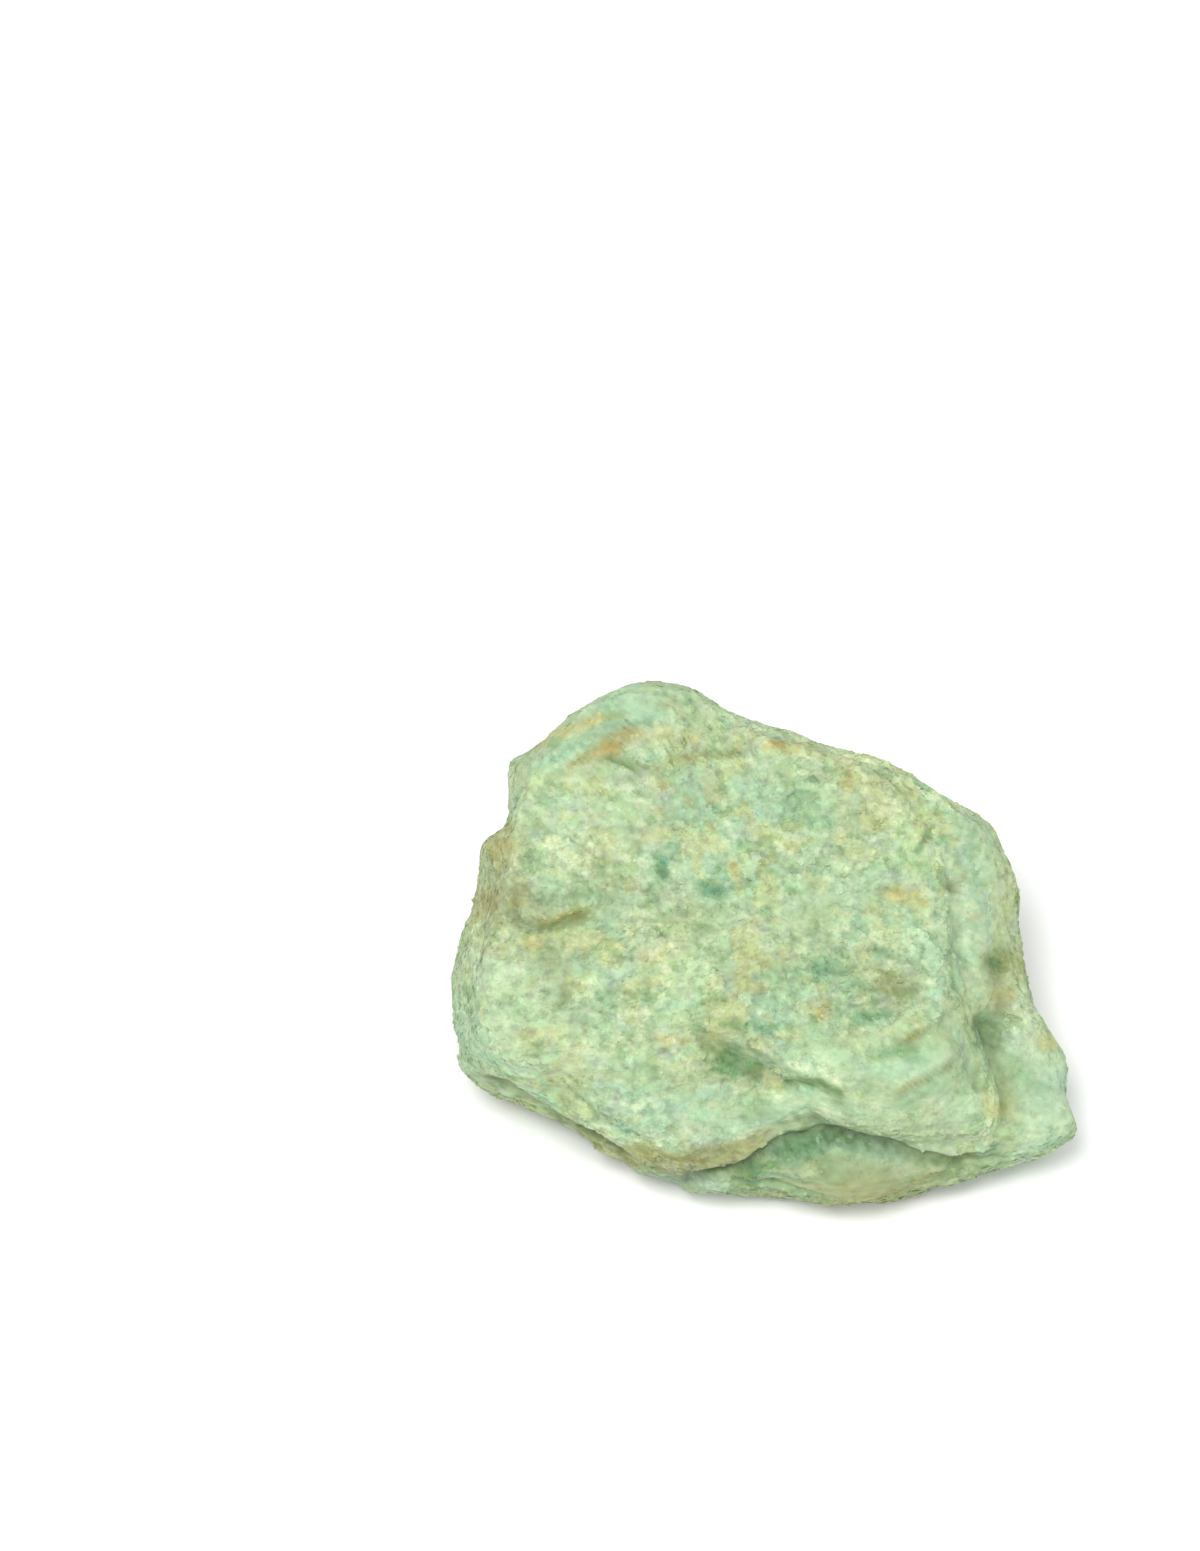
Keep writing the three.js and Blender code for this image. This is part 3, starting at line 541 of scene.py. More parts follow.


# ---- stains, and painted light and shade, painted as strengths at the surface points ----

# place on the face plane, half length, half width, turn in degrees, strength
OVALS = dict(
    ochre=[
        ((-14.8, 19), 2.4, 0.8, 30, 1.25), ((-10.3, 15.3), 0.9, 0.6, -20, 0.9),
        ((-7.4, 13.9), 0.6, 0.5, 0, 0.8), ((1.3, 19.1), 1.7, 0.7, 0, 0.8),
        ((-7.3, 17.9), 0.5, 0.4, 0, 0.8), ((7.9, 16.6), 0.8, 1.7, 0, 0.6),
        ((-3.1, 7.1), 0.45, 1.1, 8, 0.9), ((-2.7, 5.2), 0.4, 0.7, 0, 0.5), ((-19, 3), 2.6, 0.5, 5, 0.7),
        ((-25.6, 9.6), 0.9, 1.4, -20, 0.45), ((-26.5, 4.5), 1.6, 0.9, 0, 0.6),
        ((1.6, -0.7), 0.8, 0.8, 0, 0.7), ((-0.8, -4), 0.9, 0.5, 0, 0.7), ((4.6, -6.1), 1.1, 0.8, 0, 0.5),
        ((13.5, 4.5), 1.7, 0.6, -15, 0.6), ((-0.2, -12), 1.2, 0.5, -30, 0.6),
        ((-8.6, -8.3), 1.8, 0.5, 0, 0.6), ((20.1, 2.6), 0.6, 0.6, 0, 0.5),
        ((13.9, -8.2), 1.4, 0.3, 24, 0.9), ((13, -13), 1.3, 0.25, 24, 0.9),
        ((22.4, -4.4), 1.2, 0.8, 0, 0.2), ((27, -8.8), 1.1, 0.6, -20, 0.6),
        ((20.6, -13.9), 0.5, 1.7, -15, 0.2), ((10.2, -3.9), 0.7, 0.5, 0, 0.15),
        ((10.5, -22.8), 6, 1.6, 0, 0.28),
    ],
    tan=[
        ((-9.3, 20.1), 3, 1.1, 5, 1.1), ((-14.8, 19), 3, 1.1, 30, 1), ((-10.8, 25), 0.8, 0.4, 0, 0.7),
        ((-9.2, 23.5), 1.5, 0.5, -8, 0.6), ((-18.6, 15.5), 2, 1.3, 20, 0.7),
        ((-16.3, 14.9), 1.3, 0.8, 0, 0.6), ((-23.7, 15.8), 1, 2, -10, 0.5), ((-4, 17.7), 3, 0.7, 3, 0.8),
        ((2, 18.9), 3.4, 1.1, -6, 0.8), ((4.5, 18.6), 1.8, 0.9, -20, 0.8), ((8, 15.8), 1.6, 2.8, 10, 0.7),
        ((11.4, 15), 3, 1.4, -30, 0.6), ((-25.5, 9.5), 2.2, 2.6, -20, 1.4),
        ((-25.5, 3.8), 4.5, 2.6, 0, 1), ((-22.5, 0.6), 7, 2, 0, 0.85), ((-24, 5.2), 3.4, 1, -10, 0.8),
        ((-27.5, 0.8), 1.2, 1.2, 0, 0.5), ((-17.6, 0.5), 0.7, 1.5, 0, 0.6),
        ((-12.8, 2.5), 0.8, 1.6, 0, 0.7), ((-0.4, 10.9), 1.8, 0.6, -4, 0.6),
        ((2.6, 10.1), 2.2, 0.5, 0, 0.8), ((4.5, 6), 1.5, 0.9, 0, 0.6), ((9.3, 9), 1.8, 0.9, 0, 0.6),
        ((13.5, 4.5), 2.2, 1, -15, 0.9), ((11.1, -8.1), 1.4, 0.5, 5, 0.9),
        ((10.9, -3.4), 1, 0.4, 30, 0.4), ((24, -1.5), 1.4, 2, 0, 0.9), ((23, -5), 1.4, 2, 0, 1.2),
        ((9.7, -10.2), 1.6, 0.5, 0, 0.5), ((15.5, -15.5), 2.5, 1.5, 0, 0.4),
        ((26.9, -9), 1.3, 0.8, -20, 0.8), ((-10.3, -1), 2.4, 3.2, 0, 0.8), ((-9.5, 4), 2.5, 2, 0, 0.5),
        ((-18, 12), 7, 6, 0, 0.35), ((-9, 1), 4, 6, 0, 0.55), ((0, 3), 6, 4, 0, 0.3),
        ((-20, -4), 5, 4, 0, 0.3), ((3, 16.2), 4, 1.6, 0, 0.5), ((8.5, -8.5), 2.5, 1.6, 0, 0.4),
        ((-3.5, -14.8), 2.5, 1.2, 0, 0.4), ((-4.9, -3.4), 1.4, 1.1, 0, 0.6),
        ((4.6, -6.1), 1.6, 1.1, 0, 0.8), ((-4.8, -8.6), 2, 1, -25, 0.9), ((-2.6, 8), 1.6, 1.4, 0, 0.6),
        ((-20.5, -8), 2.4, 1.4, 20, 0.6), ((0.6, -12.6), 1, 0.7, -30, 0.9),
        ((-20.7, -2.8), 1.5, 0.8, 0, 0.8), ((-22.2, -8.2), 1.3, 0.9, 0, 0.8),
        ((-8, -8.5), 2.4, 0.8, 0, 0.8), ((-0.8, -13.2), 1.6, 0.7, -10, 0.8), ((24, 6), 0.8, 2.5, 10, 0.5),
        ((21.6, -14.8), 1.8, 2.4, -15, 0.9), ((14.5, -22), 5, 1.3, 8, 0.8),
        ((8.5, -22.8), 6.5, 1.6, 0, 0.95),
    ],
    # deep green patches; those under the sheet's edge and under the ledges are painted shade
    deep=[
        ((-3.4, -10.6), 2.5, 1.4, -20, 1.7), ((-14, 17.6), 2.5, 0.2, 0, 0.5),
        ((-11.2, 17.3), 0.8, 0.25, 0, 0.9), ((-4.7, 13.3), 0.5, 0.5, 0, 0.8),
        ((-8.5, 13.1), 1, 0.5, 0, 0.5), ((-3.5, 13), 1.6, 0.5, 40, 0.5),
        ((-10.1, 7.2), 0.8, 1.3, 15, 1.7), ((-5.5, 5.5), 1.5, 0.8, -15, 1.1),
        ((-20.5, 4.5), 1.5, 0.7, 0, 0.6), ((-15.8, 4), 1.3, 0.5, 0, 0.5),
        ((-24.5, -5.8), 1.3, 0.4, 5, 0.7), ((-19.8, -9.6), 0.6, 0.5, 0, 0.9),
        ((-13.9, -9.6), 0.6, 0.8, 0, 0.5), ((-22.2, -9.1), 0.6, 0.35, 0, 0.6),
        ((-13, -13.8), 1.2, 0.45, 0, 0.7), ((1, -2.5), 2.2, 0.8, -5, 0.6),
        ((5.2, -1.9), 2.4, 0.9, 5, 0.7), ((7.3, -0.9), 0.7, 0.5, 0, 0.9),
        ((-1.7, -7.3), 3.8, 0.55, -8, 0.85), ((14.6, 9), 0.5, 0.35, -40, 0.8),
        ((9.5, -6.4), 2.4, 0.7, 3, 0.9), ((21.9, -1.7), 1, 0.7, -30, 0.8), ((21.5, -7.4), 2, 1, 10, 1),
        ((19.8, -9.2), 0.8, 0.45, 0, 0.9), ((24.7, -12.3), 2.4, 1.2, -35, 0.6),
        ((11.8, -9.7), 3, 0.55, 8, 0.8), ((10.3, -12.5), 1.7, 0.5, 5, 0.5),
        ((14.5, -13.6), 2.6, 0.4, 25, 0.5),
    ],
    teal=[
        ((-6.8, 15.9), 0.4, 1, 0, 0.8), ((-12.9, 14.7), 0.8, 0.6, 0, 0.9), ((-10.1, 7.3), 1.4, 1.6, 0, 1),
        ((-5.5, 5.5), 2, 1.4, 0, 0.9), ((3.2, 16), 2.2, 1.3, 0, 0.6), ((0, 7.1), 2, 1.3, 0, 0.7),
        ((5.4, 11.7), 2, 1, 0, 0.4), ((-14.6, 1.8), 1.6, 1.5, 0, 0.7), ((-13.6, -2.8), 1.6, 1, 0, 0.9),
        ((-14.5, -16.5), 1.8, 0.9, -20, 0.9), ((-9.7, -17.1), 2.6, 1, 0, 0.8),
        ((-7.8, -14.7), 1, 1.3, 0, 1), ((1, -9.3), 1.7, 0.6, -22, 0.9), ((5.2, -2.1), 2.6, 1.2, 0, 0.6),
        ((19.8, 8), 0.9, 4.2, 12, 0.9), ((20.6, 3.6), 0.9, 2.5, 5, 0.8),
        ((17.2, -3.5), 0.8, 4.5, -4, 0.7), ((27, -14.5), 3.6, 4.4, 0, 1), ((11, 6.2), 2.2, 1.2, 0, 0.4),
        ((19, -9), 6, 5, 0, 0.4), ((-7, -14), 8, 4, 0, 0.4), ((15, -15), 8, 4, 0, 0.3),
        ((-28, -8), 2.5, 4.5, 0, 0.6), ((-13, 24.5), 7, 2.5, 0, 0.6),
    ],
    grey=[
        ((-5.3, 9.8), 1, 0.6, 0, 1), ((-6.4, 7.9), 0.9, 0.8, 0, 0.4), ((-19, 8.5), 1.6, 1, 0, 0.5),
        ((-18.6, -5.8), 1.4, 1, 0, 0.5), ((24.6, -9.8), 2.6, 1.2, -35, 0.8),
        ((27, -14.3), 3.4, 3.8, 0, 0.6), ((8.9, 8.1), 1, 0.6, 0, 0.5), ((-2.5, 3), 1.4, 1.2, 0, 0.5),
    ],
    # pale cream places; the thin ones along the sheet's edge are painted highlights on its rim
    pale=[
        ((-18.8, 9.7), 3.6, 2.6, 0, 1.2), ((-13.3, -6.1), 1.6, 1.2, 0, 1),
        ((-16.6, -3.6), 2.2, 1.2, 0, 0.8), ((-27.2, -2), 1.6, 2.5, 0, 0.6), ((-17, -9.3), 3, 1.8, 0, 0.7),
        ((9.5, 1), 4, 1.1, 0, 0.8), ((11.8, 13.6), 2.8, 2, -30, 1), ((16.8, 8.4), 1.3, 3, 8, 0.8),
        ((-3.4, 17.5), 2.6, 0.6, 0, 0.7), ((3, -15.4), 4.5, 1.7, 12, 0.8),
        ((15.5, -15.2), 4.2, 2.4, 15, 0.5), ((-3.5, -11.8), 1, 0.25, -10, 1.2),
        ((1.3, -13.7), 1.1, 0.35, -5, 1.2), ((-6, -2.2), 2.8, 1.8, 40, 0.6),
        ((11.2, -7.8), 1.3, 0.6, 10, 0.8), ((-24.5, 12), 1.4, 2.6, -15, 0.5),
        ((-10, -17.8), 4, 0.8, 5, 0.8), ((-1.7, -17.2), 3, 0.7, 8, 0.8),
    ],
    olive=[
        ((12, -3.8), 1.9, 1.2, 22, 1.5), ((-2.6, -11), 2.2, 0.9, -25, 0.6),
        ((22.6, -1.7), 2.2, 1.6, -20, 1.3), ((-21.8, -9), 0.8, 0.6, 0, 0.9),
        ((-25.6, 9), 1.8, 2.2, 0, 0.6), ((-25, 4.2), 3.6, 1.6, -5, 0.4),
        ((-15.3, 18.6), 2.2, 0.7, 30, 0.6), ((17.8, -17.8), 1.6, 0.5, 0, 0.5),
        ((15.5, -22), 4, 1, 8, 0.45), ((10.5, -23), 6, 1.6, 0, 0.55),
    ],
)
# mark, line, half width, strength. The deep bands along the creases, along the crevice and under the
# sheet's edge are painted shade, and the pale bands along the rims of the sheet's edge and of a ledge are
# painted highlights.
TRAILS = [
    ("tan", [(-23, 18.2), (-20.2, 20.2), (-17.9, 21.3), (-13, 22.6)], 0.6, 1.2),
    ("deep", [(-23.4, 16.4), (-20.3, 18.3), (-17, 20.1), (-13.5, 21.1), (-9, 21.6)], 0.3, 0.5),
    (
        "teal",
        [(-23.7, 17.1), (-20.8, 17.9), (-17.6, 19.7), (-14.7, 21.1), (-8.2, 21.8), (-5.6, 20.7)],
        0.8, 1.1,
    ),
    ("tan", [(-20.8, 15.8), (-17, 18.3), (-13, 19.7), (-8, 20.3), (-3.5, 19.6)], 0.6, 0.9),
    ("ochre", [(-10.2, 18.1), (-7.5, 18.1), (-5.3, 18.3), (-1.8, 19)], 0.25, 0.8),
    ("olive", [(-28.2, -12.3), (-25.5, -12.9), (-24, -13.8), (-22.5, -15)], 0.3, 0.8),
    ("olive", [(-21, -16.6), (-18.1, -17.8), (-16.3, -18.7), (-14.8, -20.1)], 0.7, 0.9),
    ("olive", [(-23.3, 2.9), (-21.8, 2.2), (-19.3, 2.5), (-16.6, 3.1)], 0.45, 0.8),
    ("deep", [(0.7, -12.6), (2.8, -12.3), (4.6, -12.6), (6.4, -13.8), (7.2, -14.9)], 0.35, 1.0),
    ("deep", [(1.9, -15), (3.6, -16.5), (5.8, -17.7)], 0.3, 0.6),
    ("deep", [(-7, -21.8), (-3, -20.6), (0, -19.4), (2.4, -18.3), (5.4, -17.6), (9, -18.2)], 0.5, 1.1),
    ("pale", [(4.1, -21.6), (6.4, -21.1), (10, -20.7), (13.1, -20.5), (16, -20.6)], 0.4, 0.9),
    ("deep", [(-16.3, 17.7), (-13.5, 17.5), (-10.6, 17.2)], 0.3, 1.1),
    ("pale", [(9.2, -14.6), (11.3, -15.2), (13.5, -15.2)], 0.5, 0.9),
    ("pale", [(-4.5, 22.8), (3, 20.8), (10, 18), (16, 15), (20, 12.5)], 0.8, 0.9),
    ("deep", [(15, -20.6), (18.5, -20.6), (21.5, -19.1), (23.4, -17.2), (24.2, -15.8)], 0.35, 0.9),
    ("pale", [(-7, -7.4), (-4.7, -8.2), (-0.2, -10.5), (4.8, -11.6), (6.6, -13), (7.8, -15)], 0.35, 0.9),
    ("olive", [(19.5, -9.5), (19.8, -12.4), (20.8, -14)], 0.4, 0.8),
    ("olive", [(13.7, -12.9), (15.7, -11.8), (17.6, -10.8)], 0.2, 0.8),
    ("pale", [(5.3, -4.7), (9.8, -4.9), (12.9, -3.4)], 0.25, 0.8),
    ("grey", [(23.3, -8.2), (24.7, -10.5), (26.1, -12.8)], 0.7, 0.9),
    ("teal", [(16.6, 0), (16.1, -1.8), (15.9, -5.5)], 0.8, 0.9),
    ("deep", [(17.7, 1.5), (17.6, -2), (18, -6)], 0.3, 0.6),
    ("pale", [(16.1, 12.1), (17.8, 5.6), (18.6, 0), (19.2, -5.6), (19.6, -9.5)], 0.35, 0.8),
    ("teal", [(15.2, 8), (16.5, 3), (17.2, -2), (17.8, -7)], 0.4, 0.8),
    ("teal", [(19.3, 11.1), (20.3, 6.5), (20.8, 4), (21.1, 2.2)], 0.6, 0.9),
]
# where the layers show as streaks
LAYERED = [
    ((-13.5, 19), 9.5, 3.8, 18, 1.0), ((19.5, 1), 3.5, 11, 0, 0.9), ((15.5, -13.5), 7, 4, 25, 0.6),
    ((-25.5, 6), 3, 7, 0, 0.5), ((9, 16), 6, 2, -25, 0.6), ((-20, -14), 8, 2.5, -25, 0.6),
]
# painted shade: darker places
SHADY = [
    ((-23.5, 4.6), 4.4, 3.4, 0, 0.9), ((-16.5, 5.2), 3.5, 1.5, 0, 0.25), ((21.5, -3), 1.8, 3.5, 0, 0.3),
    ((-27, -9), 3, 2.5, 0, 0.2), ((2.5, -3.5), 5, 3, 0, 0.2), ((-8, -15.5), 8, 3, 0, 0.3),
    ((-7, -20.5), 7, 2.5, 12, 0.8), ((-5, -22.4), 5, 2, 0, 0.4), ((9, -22.5), 8, 3, 0, 0.55),
    ((-25.8, 9.3), 2.5, 3, 0, 0.4), ((-14.8, 18.8), 2.6, 1, 30, 0.6), ((21.9, -1.7), 1.5, 1.2, 0, 0.8),
    ((16.3, -16.4), 3, 0.8, 0, 0.3), ((13.5, -14.5), 5, 3, 10, 0.25), ((-3, -10), 4, 2.2, -20, 0.3),
    ((12, -4.2), 2.2, 1.2, 20, 0.4),
]
MINTY = [
    ((13, -13.5), 10, 4, -10, 1), ((-12, -14), 6, 3.5, 0, 1), ((26, -14), 6, 6, 0, 1),
    ((15, -2), 4, 4, 0, 1), ((-28, -8), 4, 6, 0, 1), ((-13, 25), 8, 3, 0, 1),
]
# painted light: lighter places
LIGHT = [
    ((15, 9.5), 3, 4.5, 0, 0.65), ((15, 3.5), 3.5, 3, 0, 0.4), ((21.5, -13.5), 2.4, 3, -15, 0.5),
    ((2.6, 10.5), 3.5, 2.5, 0, 0.35), ((8, 19.5), 12, 1.8, -26, 0.5), ((8.8, 3), 3, 3, 0, 0.2),
    ((-22, -15.2), 4.5, 1.6, -25, 0.35), ((15.3, -4), 1, 3.6, -5, 0.4),
    ((-0.8, -21.8), 2.2, 1.2, 0, 0.35),
]


def painted(place):
    """The strongest of each stain's ovals and of its bands, a bell curve across a line that fades at the
    line's ends."""
    mark = {key: blots(place, ovals) for key, ovals in OVALS.items()}
    for key, line, half_width, strength in TRAILS:
        distance, along = near_line(place, line)
        trail = strength * ends(along, 0.15, 0.15) * np.exp(-((distance / half_width) ** 2))
        mark[key] = np.maximum(mark[key], trail)
    return mark


def stains(p, painted_shade, place, topside, layer, sugary, near, wide):
    """Strengths from 0 to 1 of each stain and of the painted light and shade: oval marks, bands along
    lines, streaks along the layers, and patches of noise. Hollows of the relief get painted shade, its
    ridges a painted highlight, and the brightness of places, which is painted light and shade, goes from
    dark at 0 to light at 1."""
    ragged = smoothstep(0.5 + 0.8 * octaves(p, 1.2, 3, 91))
    mark = {key: value * (0.55 + 0.65 * ragged) for key, value in painted(place).items()}

    # the brown lip over the crevice, and the base under it
    lip, lip_along = near_line(place, CREVICE)
    lower, _ = near_line(place, UNDERCUT)
    brown = smoothstep(lip / 0.3) * smoothstep((3.2 - lip) / 1.0) * smoothstep((0.45 - lip_along) / 0.2)
    below = smoothstep(-lip / 0.4) * np.exp(-((np.maximum(-lip, 0) / 3.4) ** 2))
    mottled = smoothstep(0.5 + 1.2 * octaves(p, 1.6, 3, 93))
    inner = smoothstep((lip_along - 0.18) / 0.1) * smoothstep((0.95 - lip_along) / 0.1)
    inner = inner * (1 - 0.45 * smoothstep((lip_along - 0.45) / 0.15))
    base = smoothstep(-lip / 0.4) * inner
    base_lip = smoothstep((-lip - 1.2) / 1.0) * smoothstep((lip_along - 0.35) / 0.1)
    base_lip = base_lip * smoothstep((0.75 - lip_along) / 0.15)
    under = smoothstep((-lower - 0.2) / 0.5)

    # streaks along the layers, and patches
    wander = octaves(p, 5.0, 3, 95)
    slanted = smoothstep((0.94 - topside * np.abs(unit(p)[..., 2])) / 0.3)
    bands = octaves(np.stack([p[..., 0] / 10, p[..., 1] / 10, layer / 0.6], -1), 1.0, 2, 111)
    layered = np.maximum(0.4 * slanted, blots(place, LAYERED) * topside)
    patch = smoothstep((octaves(p, 2.6, 3, 97) + 0.5 * wander - 0.15) / 0.4)

    def strongest(key, *others):
        """Raises a stain to the others where they are stronger."""
        for other in others:
            mark[key] = np.maximum(mark[key], other)

    strongest("tan", 0.85 * brown, 0.6 * base_lip, 0.5 * under * ragged)
    strongest("tan", 0.55 * smoothstep((bands - 0.05) / 0.2) * base)
    tan_places = 1 - blots(place, MINTY)
    strongest("tan", 0.8 * smoothstep((bands - 0.1) / 0.35) * layered * (0.4 + 0.6 * tan_places))
    strongest("tan", 0.65 * patch * sugary * tan_places)
    strongest("olive", brown * (0.55 + 0.5 * ragged), 0.4 * base_lip, 0.45 * under * ragged)
    # deep green mottling under the lip, partly a colour and partly painted shade
    strongest("deep", 1.1 * below * inner * (0.25 + 0.75 * mottled))
    strongest("deep", 0.5 * smoothstep((-bands - 0.1) / 0.2) * base)
    strongest("ochre", 0.12 * brown * ragged)
    strongest("deep", 0.4 * smoothstep((octaves(p, 2.2, 3, 99) - 0.4) / 0.4))
    strongest("pale", 0.8 * smoothstep((-bands - 0.15) / 0.35) * layered)
    strongest("teal", 0.35 * smoothstep((wander - 0.15) / 0.5))
    strongest("teal", 0.5 * smoothstep((-bands - 0.2) / 0.3) * slanted)
    # painted highlight on the ridges of the relief
    mark["painted_ridge_light"] = smoothstep(near / 0.15) * 0.6 + smoothstep(wide / 0.9) * 0.4
    # painted shade in the hollows of the relief, added to the painted shade of the cuts
    mark["painted_shade"] = np.maximum(painted_shade, smoothstep(-near / 0.25) * 0.5 + smoothstep(-wide / 1.0) * 0.4)
    # painted light and shade: the lighter and darker places, and painted shade under the lip
    mark["painted_light_and_tone"] = 0.55 + 0.6 * (blots(place, LIGHT) - blots(place, SHADY)) - 0.25 * below * inner
    mark["sugary"] = sugary
    return {key: np.clip(value, 0, 1) for key, value in mark.items()}


# ---- meshes ----


def grid_triangles(count, first, turned):
    """A grid's triangles, each cell's diagonal running towards the grid's middle."""
    row, column = np.meshgrid(np.arange(count), np.arange(count), indexing="ij")
    a = first + row * (count + 1) + column
    b, c, d = a + count + 1, a + count + 2, a + 1
    half = (count - 1) / 2
    falling = (row > half) == (column > half)
    one = np.where(falling[..., None], np.stack([a, b, c], -1), np.stack([a, b, d], -1))
    two = np.where(falling[..., None], np.stack([a, c, d], -1), np.stack([b, c, d], -1))
    faces = np.concatenate([one.reshape(-1, 3), two.reshape(-1, 3)])
    return faces if turned else faces[:, ::-1]


def join_rims(points, faces, count):
    """The two halves share their rim: the second half's rim points are replaced by the first half's."""
    index = np.arange((count + 1) ** 2).reshape(count + 1, count + 1)
    rim = np.ones(index.shape, bool)
    rim[1:-1, 1:-1] = False
    swap = np.arange(len(points))
    swap[index[rim] + index.size] = index[rim]
    kept = np.unique(swap)
    number = np.zeros(len(points), int)
    number[kept] = np.arange(len(kept))
    return kept, number[swap[faces]]


def add_mesh(name, points, faces, attributes, material, smooth):
    """A mesh object at the origin from arrays of points in mm and of faces, with point attributes."""
    mesh = bpy.data.meshes.new(name)
    mesh.from_pydata(points * MM, [], faces.tolist())
    for key, values in attributes.items():
        layer = mesh.attributes.new(key, "FLOAT", "POINT")
        layer.data.foreach_set("value", np.asarray(values, np.float32))
    mesh.polygons.foreach_set("use_smooth", np.full(len(mesh.polygons), smooth))
    mesh.materials.append(material)
    mesh.update()
    piece = bpy.data.objects.new(name, mesh)
    bpy.context.scene.collection.objects.link(piece)
    return piece


def make_stone(settings, material):
    """Both halves of the grid moved onto the surface, joined at the rim, and flat where the stone rests."""
    count = settings.grid_cells
    directions = relaxed_directions(count // FINER, RELAX_ROUNDS, FINER)
    made = [carved(half, settings) for half in directions]
    halves = [parts[0] for parts in made]
    near, wide = relief(halves, NEAR_ROUNDS), relief(halves, WIDE_ROUNDS)
    marks = [stains(*parts, near[k], wide[k]) for k, parts in enumerate(made)]
    world = [half @ SLAB_AXES + SLAB_CENTRE for half in halves]
    points = np.concatenate([half.reshape(-1, 3) for half in world])
    points[:, 2] = np.maximum(points[:, 2], 0)
    faces = [grid_triangles(count, half * (count + 1) ** 2, half == 1) for half in (0, 1)]
    kept, faces = join_rims(points, np.concatenate(faces), count)
    attributes = {key: np.concatenate([m[key].ravel() for m in marks])[kept] for key in marks[0]}
    return add_mesh(STONE, points[kept], faces, attributes, material, True)


def mesh_arrays(mesh):
    """A triangle mesh's points in mm, its triangles, and its point attributes, as arrays."""
    corners = np.empty(len(mesh.polygons) * 3, int)
    mesh.polygons.foreach_get("vertices", corners)
    points = np.empty(len(mesh.vertices) * 3)
    mesh.vertices.foreach_get("co", points)
    values = {}
    for name in MARKS:
        values[name] = np.empty(len(mesh.vertices), np.float32)
        mesh.attributes[name].data.foreach_get("value", values[name])
    return points.reshape(-1, 3) / MM, corners.reshape(-1, 3), values


def make_scales(name, stone, count, size, settings, seed):
    """Five-sided plates of mica, each with a root that tapers to a point below it. A plate has a random
    face of the stone as its place, lies along it with a small tilt of its own, and is nearly sunk."""
    random = np.random.default_rng(seed)
    points, corners, values = mesh_arrays(stone.data)
    a, b, c = (points[corners[:, k]] for k in range(3))
    cross = np.cross(b - a, c - a)
    area = np.linalg.norm(cross, axis=1)
    middle = (a + b + c) / 3
    # no scales where the cuts' painted shade lies
    bare = values["sugary"] ** 2 * (1 - smoothstep(values["painted_shade"] / 0.3))
    weight = area * bare[corners].mean(1) * (middle[:, 2] > SCALES_ABOVE)
    pick = random.choice(len(corners), count, p=weight / weight.sum())
    normal = unit(unit(cross[pick]) + random.normal(0, settings.scale_tilt, (count, 3)))
    right = unit(np.cross(normal, random.normal(0, 1, (count, 3))))
    up = np.cross(normal, right)
    radius = size / MM * random.uniform(*SIZE_SPREAD, count)
    sides = SCALE_SIDES
    turn = np.linspace(0, 2 * np.pi, sides, endpoint=False)
    turn = turn + random.uniform(-CORNER_TURN, CORNER_TURN, (count, sides))
    reach = radius[:, None] * random.uniform(*CORNER_SPREAD, (count, sides))
    flat = (reach * np.cos(turn))[..., None] * right[:, None]
    flat = flat + (reach * np.sin(turn))[..., None] * up[:, None]
    stand = settings.scale_stand / MM * random.uniform(*STAND_SPREAD, count)[:, None]
    top = middle[pick][:, None] + flat + (normal * stand)[:, None]
    root = middle[pick] - normal * radius[:, None]
    shell = np.concatenate([top, root[:, None]], 1)
    shell[..., 2] = np.maximum(shell[..., 2], LOWEST_TIP)
    fan = [(0, k, k + 1) for k in range(1, sides - 1)] + [(k, sides, (k + 1) % sides) for k in range(sides)]
    faces = np.array(fan)[None] + (sides + 1) * np.arange(count)[:, None, None]
    attributes = {key: np.repeat(value[corners[pick, 0]], sides + 1) for key, value in values.items()}
    # each scale keeps the painted light and shade of its place, with a random amount of its own added
    attributes["painted_light_and_tone"] = attributes["painted_light_and_tone"] + np.repeat(random.uniform(*TONE_SPREAD, count), sides + 1)
    # a scale keeps half the painted shade of its place
    attributes["painted_shade"] = 0.5 * attributes["painted_shade"]
    material = stone.data.materials[0]
    return add_mesh(name, shell.reshape(-1, 3), faces.reshape(-1, 3), attributes, material, False)


# ---- materials ----


